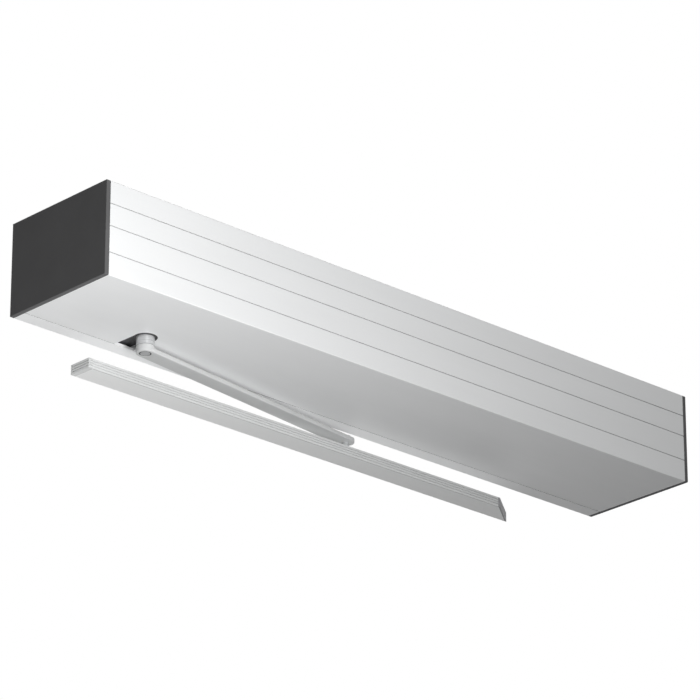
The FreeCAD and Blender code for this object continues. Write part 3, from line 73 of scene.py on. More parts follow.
class Tree:
    """A material's nodes, each added and wired in one call."""

    def __init__(self, name):
        self.material = bpy.data.materials.new(name)
        self.material.use_nodes = True
        self.nodes = self.material.node_tree.nodes
        self.links = self.material.node_tree.links
        self.nodes.clear()
        self.output = self.nodes.new("ShaderNodeOutputMaterial")
        self.shader = self.nodes.new("ShaderNodeBsdfPrincipled")
        self.links.new(self.shader.outputs[0], self.output.inputs["Surface"])
        self.place = self.nodes.new("ShaderNodeTexCoord").outputs["Object"]

    def node(self, kind, settings=None, **inputs):
        """Adds a node. Sockets are fed by name, with _ for a space, or by number, as _0."""
        made = self.nodes.new("ShaderNode" + kind)
        for key, value in (settings or {}).items():
            setattr(made, key, value)
        for key, value in inputs.items():
            socket = int(key[1:]) if key[1:].isdigit() else key.replace("_", " ")
            self.feed(made.inputs[socket], value)
        return made

    def feed(self, socket, value):
        if isinstance(value, bpy.types.NodeSocket):
            self.links.new(value, socket)
        else:
            socket.default_value = value

    def set(self, **inputs):
        """Feeds the shader's sockets by name."""
        for key, value in inputs.items():
            self.feed(self.shader.inputs[key.replace("_", " ")], value)

    def math(self, operation, a, b):
        return self.node("Math", {"operation": operation}, _0=a, _1=b).outputs[0]

    def scaled(self, scale):
        """Object coordinates times a scale for each axis, per metre."""
        return self.node("Mapping", Vector=self.place, Scale=scale).outputs[0]

    def noise(self, scale, detail=3.0, roughness=0.55):
        """Noise with so many spots to the metre along each axis, or the same number along all three."""
        if isinstance(scale, float):
            scale = (scale,) * 3
        return self.node("TexNoise", Vector=self.scaled(scale), Scale=1.0, Detail=detail,
                         Roughness=roughness).outputs["Fac"]

    def ramp(self, value, low, high, to_low=0.0, to_high=1.0):
        """Takes a value's run from low to high to the run from to_low to to_high."""
        made = self.node("MapRange", {"clamp": True}, Value=value, From_Min=low, From_Max=high,
                         To_Min=to_low, To_Max=to_high)
        return made.outputs[0]

    def mix(self, factor, a, b):
        made = self.node("Mix", {"data_type": "RGBA"}, _0=factor)
        self.feed(made.inputs[6], a)
        self.feed(made.inputs[7], b)
        return made.outputs[2]

    def bump(self, height, depth):
        """A bump whose height runs over a depth in metres."""
        return self.node("Bump", Height=height, Distance=depth, Strength=1.0).outputs[0]

    def edges(self, radius, start=0.004, full=0.16):
        """1 along the piece's edges and 0 on its faces."""
        soft = self.node("Bevel", {"samples": 6}, Radius=radius).outputs[0]
        flat = self.node("NewGeometry").outputs["Normal"]
        along = self.node("VectorMath", {"operation": "DOT_PRODUCT"}, _0=soft, _1=flat).outputs["Value"]
        return self.ramp(self.math("SUBTRACT", 1.0, along), start, full)

    def groove_shade_mask(self, reach, low=0.35, high=0.95):
        """1 on open faces, falling to 0 in grooves and corners nearer than the reach; the mask for painted
        shade there.
        """
        near = self.node("AmbientOcclusion", {"samples": 16, "only_local": True}, Distance=reach)
        return self.ramp(near.outputs["AO"], low, high)


def rgba(colour, gain=1.0):
    return tuple(min(1.0, c * gain) for c in colour[:3]) + (1.0,)


def finish_extruded(name, colour, metallic=0.06, rough=0.42, edge_highlight=0.5, groove=1.6, shade=0.42):
    """Satin anodised extrusion: fine die lines along X, a faint mottle, painted highlights along the edges
    and painted shade in the grooves.
    """
    t = Tree(name)
    lines = t.noise((3.0, 2600.0, 2600.0), 2.0, 0.6)
    satin = t.noise(900.0, 2.0, 0.6)
    mottle = t.noise((7.0, 34.0, 34.0), 3.0, 0.5)
    edge = t.edges(0.45 * MM)
    tone = t.mix(t.ramp(mottle, 0.3, 0.7), rgba(colour, 0.985), rgba(colour, 1.012))
    tone = t.mix(t.ramp(lines, 0.35, 0.65, 0.0, 0.35), tone, rgba(colour, 0.965))
    # Painted highlight: the edges are lightened where rounded edges would catch the light.
    tone = t.mix(t.math("MULTIPLY", edge, edge_highlight), tone, rgba(colour, 1.12))
    # Painted shade: grooves and corners are darkened towards the shade colour.
    tone = t.mix(t.groove_shade_mask(groove * MM), rgba(colour, shade), tone)
    grain = t.math("ADD", t.math("MULTIPLY", lines, 0.7), t.math("MULTIPLY", satin, 0.3))
    rough_map = t.ramp(grain, 0.3, 0.7, rough - 0.05, rough + 0.07)
    rough_map = t.math("SUBTRACT", rough_map, t.math("MULTIPLY", edge, 0.08))
    t.set(Base_Color=tone, Metallic=metallic, Roughness=rough_map, Normal=t.bump(grain, 0.006 * MM),
          Specular_IOR_Level=0.35)
    return t.material


def finish_moulded(name, colour, rough=0.55, grain=0.45, specular=0.35, edge_highlight=0.5, highlight_gain=1.5):
    """Moulded plastic: a fine spark-eroded grain, slight sheen changes and painted highlights along the
    edges.
    """
    t = Tree(name)
    coarse = t.node("TexVoronoi", Vector=t.place, Scale=1.0 / (grain * MM), Randomness=1.0)
    fine = t.noise(3200.0, 2.0, 0.6)
    patch = t.noise(22.0, 3.0, 0.5)
    edge = t.edges(0.6 * MM)
    grained = t.math("ADD", t.math("MULTIPLY", coarse.outputs["Distance"], 0.6),
                     t.math("MULTIPLY", fine, 0.4))
    tone = t.mix(t.ramp(patch, 0.3, 0.7), rgba(colour, 0.95), rgba(colour, 1.05))
    # Painted highlight: the edges are lightened where rounded edges would catch the light.
    tone = t.mix(t.math("MULTIPLY", edge, edge_highlight), tone, rgba(colour, highlight_gain))
    t.set(Base_Color=tone, Roughness=t.ramp(grained, 0.2, 0.7, rough - 0.06, rough + 0.08),
          Normal=t.bump(grained, 0.02 * MM), Specular_IOR_Level=specular)
    return t.material


def finish_steel(name, colour, metallic=0.75, rough=0.34, edge_highlight=0.6, grain=(60.0, 60.0, 1800.0)):
    """Machined or plated steel: grain along the cut, cloudy plating and painted highlights along the edges.
    """
    t = Tree(name)
    cut = t.noise(grain, 2.0, 0.6)
    cloud = t.noise(120.0, 3.0, 0.55)
    edge = t.edges(0.35 * MM)
    tone = t.mix(t.ramp(cloud, 0.3, 0.7), rgba(colour, 0.93), rgba(colour, 1.04))
    # Painted highlight: the edges are lightened where rounded edges would catch the light.
    tone = t.mix(t.math("MULTIPLY", edge, edge_highlight), tone, rgba(colour, 1.25))
    t.set(Base_Color=tone, Metallic=metallic, Roughness=t.ramp(cut, 0.3, 0.7, rough - 0.07, rough + 0.1),
          Normal=t.bump(cut, 0.008 * MM))
    return t.material


def finish_cast(name, colour, metallic=0.2, rough=0.6):
    """Blasted casting: a pebbly skin with darker pits and painted highlights along the edges."""
    t = Tree(name)
    skin = t.noise(1400.0, 4.0, 0.6)
    pits = t.noise(380.0, 3.0, 0.6)
    edge = t.edges(0.6 * MM)
    tone = t.mix(t.ramp(pits, 0.35, 0.6), rgba(colour, 0.8), rgba(colour, 1.05))
    # Painted highlight: the edges are lightened where rounded edges would catch the light.
    tone = t.mix(t.math("MULTIPLY", edge, 0.5), tone, rgba(colour, 1.6))
    t.set(Base_Color=tone, Metallic=metallic, Roughness=t.ramp(skin, 0.3, 0.7, rough - 0.08, rough + 0.1),
          Normal=t.bump(skin, 0.05 * MM))
    return t.material


def finish_layers(name, colour, pitch, axis, metallic=0.4, rough=0.5, dark=0.45):
    """Stacked sheets or wound wire: dark joints at a pitch along an axis."""
    t = Tree(name)
    direction = {"bands_direction": axis, "wave_profile": "SIN"}
    bands = t.node("TexWave", direction, Vector=t.place, Scale=WAVE_SPACING / pitch, Distortion=0.0)
    uneven = t.noise(500.0, 3.0, 0.6)
    joint = t.ramp(bands.outputs["Fac"], 0.0, 0.35)
    tone = t.mix(joint, rgba(colour, dark), t.mix(uneven, rgba(colour, 0.9), rgba(colour, 1.1)))
    t.set(Base_Color=tone, Metallic=metallic, Roughness=t.ramp(uneven, 0.3, 0.7, rough - 0.08, rough + 0.1),
          Normal=t.bump(bands.outputs["Fac"], pitch * 0.2))
    return t.material


def finish_board(name, colour):
    """Circuit board: solder resist over copper tracks, with the weave just showing."""
    t = Tree(name)
    black = (0.0, 0.0, 0.0, 1.0)
    tracks = t.node("TexBrick", {"offset": 0.37, "squash": 1.0}, Vector=t.scaled((90.0, 1.0, 90.0)),
                    Scale=1.0, Color1=black, Color2=black, Mortar=(1.0, 1.0, 1.0, 1.0), Mortar_Size=0.05)
    weave = t.noise(2400.0, 2.0, 0.5)
    tone = t.mix(tracks.outputs["Color"], rgba(colour, 0.85), rgba(colour, 1.5))
    t.set(Base_Color=tone, Roughness=t.ramp(weave, 0.3, 0.7, 0.3, 0.42),
          Normal=t.bump(tracks.outputs["Fac"], 0.03 * MM))
    return t.material


def finish_rubber(name, colour):
    """Dull rubber with a fine skin and a little dust."""
    t = Tree(name)
    skin = t.noise(1800.0, 4.0, 0.7)
    dust = t.noise(160.0, 3.0, 0.6)
    t.set(Base_Color=t.mix(t.ramp(dust, 0.4, 0.8), rgba(colour), rgba(colour, 1.8)),
          Roughness=t.ramp(skin, 0.3, 0.7, 0.68, 0.85), Normal=t.bump(skin, 0.03 * MM))
    return t.material


# Sizes and colours a user would change


def colour_prop(name, description, default):
    return bpy.props.FloatVectorProperty(name=name, description=description, default=default,
                                         subtype="COLOR", size=3, min=0.0, max=1.0)


def power_prop(name, description, default):
    return bpy.props.FloatProperty(name=name, description=description, default=default, min=0.0,
                                   subtype="POWER")


def place_prop(name, description, default):
    return bpy.props.FloatVectorProperty(name=name, description=description, default=default,
                                         subtype="TRANSLATION", unit="LENGTH", size=3)


def length_prop(name, description, default):
    return bpy.props.FloatProperty(name=name, description=description, default=default, min=0.0,
                                   unit="LENGTH")


class DOOROP_PG_housing(bpy.types.PropertyGroup):
    cover: colour_prop("Cover", "Anodised cover extrusion", (0.838, 0.846, 0.85))
    base: colour_prop("Base profile", "Back plate extrusion", (0.89, 0.898, 0.902))
    cap: colour_prop("End caps", "Moulded end caps", (0.112, 0.112, 0.114))
    # Painted shade: the seam strips and the ring round the spindle are this dark to stand in for the shadow
    # in those gaps.
    gap_shade: colour_prop("Gap_shades", "Rubber strips in the cover's seams and lip round the spindle",
                      (0.03, 0.03, 0.031))
    gap_shade_width: length_prop("Seam seal", "Width of the rubber strip in each seam of the cover", 0.8 * MM)
    ring_shade_width: length_prop("Spindle lip", "Width of the rubber lip round the spindle", 2.7 * MM)


class DOOROP_PG_arm(bpy.types.PropertyGroup):
    bar: colour_prop("Arm", "Silver coat of the arm", (0.57, 0.577, 0.577))
    thick: length_prop("Bar thickness", "Thickness of the flat bar beside its hub", 5.0 * MM)
    rounding: length_prop("Rounding", "Radius along the arm's edges", 1.0 * MM)
    # Painted shade: the ring round the screw's head is dark to stand in for the shadow in the gap round it.
    ring: length_prop("Screw ring", "Width of the rubber ring round the screw's head", 1.5 * MM)
    shade_ring_depth: length_prop("Ring depth", "Depth of the rubber ring below the arm's face", 0.4 * MM)
    spindle: colour_prop("Spindle", "Ground spindle", (0.54, 0.547, 0.555))
    fastener: colour_prop("Fasteners", "Zinc plated screws, pins and brackets", (0.62, 0.63, 0.64))
    screw: colour_prop("Arm screw", "Dull plated screw below the hub", (0.40, 0.405, 0.41))


class DOOROP_PG_rail(bpy.types.PropertyGroup):
    metal: colour_prop("Rail", "Anodised rail", (0.92, 0.928, 0.925))
    trim: colour_prop("Trim", "Ribbed strip on the rail's front", (0.63, 0.638, 0.636))
    cap: colour_prop("Slanted cap", "Moulded cap on the slanted end", (0.30, 0.30, 0.31))
    block: colour_prop("Slide block", "Slippery natural plastic", (0.86, 0.86, 0.83))
    buffer: colour_prop("Buffers", "Rubber stops", (0.05, 0.05, 0.05))


class DOOROP_PG_drive(bpy.types.PropertyGroup):
    # Painted shade: the case is this dark so that, seen through the slot, it stands in for the shade inside
    # the housing.
    case: colour_prop("Gear case", "Cast gear case and lid", (0.075, 0.075, 0.08))
    gear: colour_prop("Gears", "Hobbed and hardened steel", (0.48, 0.48, 0.49))
    bearing: colour_prop("Bearings", "Ground bearing steel", (0.70, 0.71, 0.72))
    spring: colour_prop("Spring", "Oiled spring steel", (0.30, 0.31, 0.33))
    stack: colour_prop("Laminations", "Stacked sheets", (0.30, 0.30, 0.31))
    winding: colour_prop("Windings", "Enamelled copper wire", (0.72, 0.40, 0.22))
    motor: colour_prop("Motor", "Black powder coat", (0.10, 0.10, 0.11))
    turns: bpy.props.FloatProperty(name="Turns", description="Turns of the closing spring", default=6.5,
                                   min=2.0)
    wire: length_prop("Wire", "Side of the closing spring's square wire", 4.0 * MM)


class DOOROP_PG_control(bpy.types.PropertyGroup):
    board: colour_prop("Board", "Solder resist", (0.07, 0.26, 0.14))
    relay: colour_prop("Relays", "Moulded relay cases", (0.05, 0.05, 0.055))
    can: colour_prop("Capacitor", "Sleeved can", (0.08, 0.12, 0.28))
    terminal: colour_prop("Terminals", "Moulded terminal strips", (0.10, 0.42, 0.20))
    sink: colour_prop("Heat sink", "Dark anodised extrusion", (0.42, 0.43, 0.44))
    tape: colour_prop("Coil", "Winding under tape", (0.72, 0.60, 0.22))
    switch: colour_prop("Switch", "Moulded switch body", (0.06, 0.06, 0.065))
    rocker: colour_prop("Rocker", "Glossy rocker", (0.04, 0.04, 0.045))


class DOOROP_PG_stage(bpy.types.PropertyGroup):
    lens: bpy.props.FloatProperty(name="Lens", description="Focal length of the camera, in millimetres",
                                  default=223.26, min=20.0, max=400.0)
    camera: place_prop("Camera", "Place of the camera", (-2.83654, -3.09471, -1.73052))
    target: place_prop("Target", "Point that the camera looks at", (-0.020859, -0.0725, 0.003808))
    front: power_prop("Front lamp", "Power of the lamp before the right end", 4.1)
    front_place: place_prop("Front place", "Place of the front lamp", (0.8, -1.45, 0.2))
    front_target: place_prop("Front target", "Point that the front lamp faces", (0.6, -0.145, 0.0))
    front_size: length_prop("Front size", "Diameter of the front lamp", 0.5)
    below: power_prop("Lower lamp", "Power of the lamp below the left end", 56.5)
    below_place: place_prop("Lower place", "Place of the lower lamp", (-0.75, -1.35, -0.93))
    below_target: place_prop("Lower target", "Point that the lower lamp faces", (-2.2, -0.07, -0.05))
    below_size: length_prop("Lower size", "Diameter of the lower lamp", 0.6)
    back: bpy.props.FloatProperty(name="Rear sun", description="Strength of the high light from behind",
                                  default=1.6, min=0.0)
    back_from: bpy.props.FloatVectorProperty(name="Sun from", description="Direction of the rear sun",
                                             default=(0.45, 0.5, 1.0), subtype="DIRECTION", size=3)
    back_angle: bpy.props.FloatProperty(name="Sun angle", description="Softness of the rear sun",
                                        default=math.radians(12.0), subtype="ANGLE", unit="ROTATION")
    ambient: bpy.props.FloatProperty(name="Ambient", description="Strength of the world on matt surfaces",
                                     default=0.035, min=0.0, max=1.0)
    floor: bpy.props.FloatProperty(name="Floor", description="Height of the floor below the operator",
                                   default=-4.5, unit="LENGTH")
    floor_radius: length_prop("Floor radius", "Radius of the round floor", 24.0)
    floor_colour: colour_prop("Floor colour", "Floor as the object's light meets it", (0.12, 0.12, 0.12))


# Mesh helpers


def middle(node):
    """Centre of a CAD node's box, seen from above."""
    low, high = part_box(node)
    return (low[0] + high[0]) / 2, (low[1] + high[1]) / 2


def circle(centre, radius, z):
    return [(centre[0] + radius * math.cos(TURN * k / ROUND_STEPS),
             centre[1] + radius * math.sin(TURN * k / ROUND_STEPS), z) for k in range(ROUND_STEPS)]


def stadium(start, end, radius, z):
    """Outline of a bar with round ends between two centres."""
    heading = math.atan2(end[1] - start[1], end[0] - start[0])
    steps = ROUND_STEPS // 2
    points = []
    for centre, first in ((end, heading - TURN / 4), (start, heading + TURN / 4)):
        for k in range(steps + 1):
            angle = first + TURN / 2 * k / steps
            points.append((centre[0] + radius * math.cos(angle), centre[1] + radius * math.sin(angle), z))
    return points


def rounded(radius, top, rounding):
    """Radius and height steps up the side and over a rounded upper edge."""
    turns = [TURN / 4 * k / EDGE_STEPS for k in range(EDGE_STEPS + 1)]
    return [(radius - rounding * (1 - math.cos(a)), top - rounding * (1 - math.sin(a))) for a in turns]


def skin(bm, loops):
    """Joins closed loops of one count with quads, and returns their vertices."""
    rings = [[bm.verts.new(point) for point in loop] for loop in loops]
    for a, b in zip(rings, rings[1:]):
        for k in range(len(a)):
            bm.faces.new((a[k - 1], a[k], b[k], b[k - 1]))
    return rings


def cap(bm, outer, *holes):
    """Closes a flat outline, leaving its holes open."""
    edges = [bm.edges.get((ring[k - 1], ring[k])) for ring in (outer, *holes) for k in range(len(ring))]
    bmesh.ops.triangle_fill(bm, use_beauty=True, edges=edges)


def show(name, data):
    """Puts a mesh, lamp or camera into the scene."""
    obj = bpy.data.objects.new(name, data)
    bpy.context.scene.collection.objects.link(obj)
    return obj


def piece(name, bm, material, body):
    """Turns a bmesh into a piece with its finish and body."""
    bmesh.ops.recalc_face_normals(bm, faces=bm.faces)
    mesh = bpy.data.meshes.new(name)
    bm.to_mesh(mesh)
    bm.free()
    mesh.shade_smooth()
    mesh.set_sharp_from_angle(angle=SHARP)
    mesh.materials.append(material)
    obj = show(name, mesh)
    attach(obj, body)
    return obj


# Operators, one for each piece or group of like pieces


def dress(slot_name, material, *nodes):
    """Gives CAD nodes their finish."""
    for node in nodes:
        obj = NODES[node]
        obj.data.materials.clear()
        obj.data.materials.append(material)


class DOOROP_OT_housing(bpy.types.Operator):
    """Finish the cover, the base profile and the end caps"""
    bl_idname = "doorop.housing"
    bl_label = "Housing"

    def execute(self, context):
        p = context.scene.doorop_housing
        # The cover and the base get painted shade in their grooves, at the finish's default shade.
        dress("cover_silver", finish_extruded("anodised_cover", p.cover), "cover")
        dress("base_aluminium", finish_extruded("anodised_base", p.base), "base_profile")
        # The caps' edges get a painted highlight.
        cap_finish = finish_moulded("moulded_cap", p.cap, rough=0.6, specular=0.15, edge_highlight=0.6)
        dress("cap_grey", cap_finish, "end_cap_left", "end_cap_right")
        return {"FINISHED"}


class DOOROP_OT_gap_shades(bpy.types.Operator):
    """Build dark rubber strips in the cover's two seams and a dark ring round the spindle, painted shade
    standing in for the shadow in these gaps
    """
    bl_idname = "doorop.seals"
    bl_label = "Gap_shades"
    CROWN = 0.3 * MM
    RING_SHADE_GAP = 0.2 * MM
    RING_SHADE_RISE = 0.5 * MM
    RING_SHADE_FOOT = 0.1 * MM

    def execute(self, context):
        p = context.scene.doorop_housing
        # Painted shade: dark strips in the seams and a dark ring in the gap round the spindle.
        rubber = finish_rubber("gap_shade_rubber", p.gap_shade)
        low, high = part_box("cover")
        half = p.gap_shade_width / 2
        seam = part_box("base_profile")[0][1] - half
        mid = middle("arm_screw")
        reach = mid[0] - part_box("arm_bar")[0][0] + p.ring_shade_width
        under, over = low[2] + self.CROWN, high[2] - self.CROWN
        bm = bmesh.new()
        self.strip(bm, low[0], mid[0] - reach, seam, under, -1, half)
        self.strip(bm, mid[0] + reach, high[0], seam, under, -1, half)
        self.strip(bm, low[0], high[0], seam, over, 1, half)
        piece("seam_gap_shades", bm, rubber, "housing")
        bm = bmesh.new()
        inner = reach - p.ring_shade_width + self.RING_SHADE_GAP
        steps = [(inner, self.RING_SHADE_RISE), (inner, -self.CROWN), (reach, -self.CROWN),
                 (reach + self.CROWN, self.RING_SHADE_FOOT)]
        skin(bm, [circle(mid, radius, low[2] + z) for radius, z in steps])
        piece("spindle_gap_shade", bm, rubber, "housing")
        return {"FINISHED"}

    def strip(self, bm, left, right, y, z, side, half):
        """Low half-round bead along X, its ends closed: a dark line of painted shade in a seam."""
        turns = [TURN / 2 * k / ARCH_STEPS for k in range(ARCH_STEPS + 1)]
        arch = [(half * math.cos(angle), self.CROWN * math.sin(angle)) for angle in turns]
        loops = [[(x, y + a, z + side * b) for a, b in arch] for x in (left, right)]
        for ring in skin(bm, loops):
            bm.faces.new(ring)


class DOOROP_OT_drive(bpy.types.Operator):
    """Finish the gear case, the gear train, the rack, the spring's tube and the motor"""
    bl_idname = "doorop.drive"
    bl_label = "Drive"

    def execute(self, context):
        p = context.scene.doorop_drive
        zinc = context.scene.doorop_arm.fastener
        # The case's dark colour is painted shade inside the housing.
        dress("cast_case", finish_cast("cast_case", p.case), "gear_case", "gear_case_lid")
        dress("gear_steel", finish_steel("gear_steel", p.gear), "output_gear", "idler_2_gear",
              "idler_2_pinion", "idler_1_gear", "idler_1_pinion", "motor_pinion", "spring_pinion", "rack")
        dress("bearing_steel", finish_steel("bearing_steel", p.bearing, metallic=0.9, rough=0.2),
              "spindle_bearings", "idler_pins", "motor_shaft")
        dress("zinc_steel", finish_steel("zinc_brackets", zinc, metallic=0.6, rough=0.4), "t_slot_bolts",
              "spindle_nut", "rack_guide", "spring_tube", "spring_plug", "tube_clamp")
        dress("lamination", finish_layers("laminations", p.stack, 1.0 * MM, "Z"), "motor_stator",
              "motor_rotor")
        dress("copper", finish_layers("copper_windings", p.winding, 0.8 * MM, "X", metallic=0.6),
              "motor_windings")
        dress("motor_black", finish_moulded("motor_coat", p.motor, rough=0.5, grain=0.6, specular=0.5),
              "motor_plate", "motor_cap")
        return {"FINISHED"}


class DOOROP_OT_spring(bpy.types.Operator):
    """Build the closing spring as a coil of square wire. The real spring shortens as the rack moves in, but
    this coil rides the housing and keeps its length
    """
    bl_idname = "doorop.spring"
    bl_label = "Closing spring"

    def execute(self, context):
        p = context.scene.doorop_drive
        low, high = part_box("closing_spring")
        y, z = (low[1] + high[1]) / 2, (low[2] + high[2]) / 2
        half = p.wire / 2
        radius = (high[2] - low[2]) / 2 - half
        steps = int(p.turns * ROUND_STEPS)
        loops = []
        for k in range(steps + 1):
            angle = TURN * k / ROUND_STEPS
            x = low[0] + half + (high[0] - low[0] - p.wire) * k / steps
            corners = [(x - half, radius - half), (x + half, radius - half), (x + half, radius + half),
                       (x - half, radius + half)]
            loops.append([(along, y + r * math.cos(angle), z + r * math.sin(angle)) for along, r in corners])
        bm = bmesh.new()
        rings = skin(bm, loops)
        bm.faces.new(rings[0])
        bm.faces.new(rings[-1])
        steel = finish_steel("spring_steel", p.spring, metallic=0.8, rough=0.3)
        coil = piece("spring_coil", bm, steel, "housing")
        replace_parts(coil, "closing_spring")
        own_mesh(coil)
        return {"FINISHED"}


class DOOROP_OT_control(bpy.types.Operator):
    """Finish the control board, what stands on it, and the transformer"""
    bl_idname = "doorop.control"
    bl_label = "Control side"

    def execute(self, context):
        p = context.scene.doorop_control
        drive = context.scene.doorop_drive
        zinc = context.scene.doorop_arm.fastener
        dress("board_green", finish_board("solder_resist", p.board), "control_board")
        dress("part_black", finish_moulded("relay_case", p.relay, rough=0.3, grain=0.6, specular=0.5),
              "relays")
        dress("can_blue", finish_moulded("can_sleeve", p.can, rough=0.25, grain=1.2, specular=0.5),
              "capacitor")
        dress("terminal_green", finish_moulded("terminal_strip", p.terminal, rough=0.5, grain=0.5,
                                               specular=0.4), "terminal_blocks")
        dress("sink_aluminium", finish_extruded("dark_sink", p.sink, metallic=0.6, rough=0.4), "heat_sink")
        dress("coil_tape", finish_layers("coil_tape", p.tape, 6.0 * MM, "X", metallic=0.0, rough=0.4,
                                         dark=0.85), "transformer_coil")
        dress("lamination", finish_layers("core_stack", drive.stack, 1.0 * MM, "Y"), "transformer_core")
        rolled = finish_steel("zinc_tray", zinc, metallic=0.6, rough=0.4, grain=(40.0, 1500.0, 1500.0))
        dress("zinc_steel", rolled, "board_tray", "transformer_frame")
        return {"FINISHED"}


class DOOROP_OT_switch(bpy.types.Operator):
    """Finish the rocker switch in the right end cap"""
    bl_idname = "doorop.switch"
    bl_label = "Rocker switch"

    def execute(self, context):
        p = context.scene.doorop_control
        dress("switch_black", finish_moulded("switch_body", p.switch, rough=0.5, grain=0.4, specular=0.4),
              "switch_body")
        dress("rocker_black", finish_moulded("rocker_face", p.rocker, rough=0.22, grain=1.5, specular=0.5),
              "switch_rocker")
        return {"FINISHED"}


class DOOROP_OT_arm(bpy.types.Operator):
    """Finish the spindle, the arm, its screw and its pin"""
    bl_idname = "doorop.arm"
    bl_label = "Spindle and arm"
    PIN_SHOULDER = 2.0 * MM

    def execute(self, context):
        p = context.scene.doorop_arm
        dress("spindle_steel", finish_steel("ground_spindle", p.spindle, metallic=0.35, rough=0.3),
              "spindle")
        dress("zinc_steel", finish_steel("zinc_pin", p.fastener, metallic=0.5, rough=0.35), "slide_pin")
        dress("zinc_steel", finish_steel("screw_head", p.screw, metallic=0.3, rough=0.45), "arm_screw")
        self.plate(p)
        self.screw_gap_shade(p, context.scene.doorop_rail.buffer)
        return {"FINISHED"}

    def plate(self, p):
        """The bar and its hub, with a bore at the pin and a recess at the screw."""
        hub, tip = middle("arm_screw"), middle("slide_pin")
        low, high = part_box("arm_bar")
        half = hub[0] - low[0]
        top = low[2] + p.thick
        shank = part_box("slide_pin")[1][0] - tip[0] - self.PIN_SHOULDER
        recess = self.recess(p)
        bm = bmesh.new()
        rings = skin(bm, self.around(hub, tip, half, low[2], top, p.rounding))
        pin = skin(bm, [circle(tip, shank, z) for z in (low[2], top)])
        sunk = skin(bm, [circle(hub, recess, z) for z in (low[2], low[2] + 2 * p.shade_ring_depth)])
        bm.faces.new(sunk[1])
        cap(bm, rings[0], pin[0], sunk[0])
        cap(bm, rings[-1], pin[1])
        steps = [(half, top - p.rounding)] + rounded(half, high[2], p.rounding)
        neck = skin(bm, [circle(hub, radius, z) for radius, z in steps])
        bm.faces.new(neck[-1])
        # The arm's edges get a painted highlight.
        coat = finish_moulded("arm_coat", p.bar, rough=0.42, grain=0.35, specular=0.5, edge_highlight=0.6)
        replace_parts(piece("arm_plate", bm, coat, "arm"), "arm_bar")

    def screw_gap_shade(self, p, colour):
        """A dark rubber ring between the screw's head and the recess: painted shade standing in for the
        shadow in that gap.
        """
        hub, recess = middle("arm_screw"), self.recess(p)
        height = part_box("arm_bar")[0][2] + p.shade_ring_depth
        bm = bmesh.new()
        skin(bm, [circle(hub, radius, height) for radius in (recess - p.ring, recess)])
        piece("screw_gap_shade", bm, finish_rubber("screw_shade_rubber", colour), "arm")

    def recess(self, p):
        """Radius of the recess round the screw's head."""
        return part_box("arm_screw")[1][0] - middle("arm_screw")[0] + p.ring

    def around(self, hub, tip, half, low, top, rounding):
        """Outlines of the bar from its underside to its top, with both edges rounded."""
        under = [(radius, low + top - z) for radius, z in reversed(rounded(half, top, rounding))]
        steps = under + rounded(half, top, rounding)
        return [stadium(hub, tip, radius, z) for radius, z in steps]


class DOOROP_OT_rail(bpy.types.Operator):
    """Finish the guide rail, its trim, caps, buffers and slide block"""
    bl_idname = "doorop.rail"
    bl_label = "Guide rail"

    def execute(self, context):
        p = context.scene.doorop_rail
        dress("rail_silver", finish_extruded("anodised_rail", p.metal, shade=1.0), "guide_rail")
        # The trim gets painted shade in its grooves.
        dress("rail_silver", finish_extruded("anodised_trim", p.trim, shade=0.8), "rail_trim")
        # Painted light: the left end, which the lamps don't reach, gets a more metallic copy of the trim
        # finish so it reflects the white world and looks lighter.
        dress("rail_silver", finish_extruded("bright_end", p.trim, metallic=0.5, shade=1.0), "rail_cap_left")
        dress("rail_cap_grey", finish_moulded("slanted_cap", p.cap, rough=0.5, grain=0.4), "rail_cap_right")
        dress("slide_white", finish_moulded("slide_block", p.block, rough=0.45, grain=0.8, specular=0.4),
              "slide_block")
        dress("buffer_rubber", finish_rubber("buffer_rubber", p.buffer), "rail_buffers")
        return {"FINISHED"}


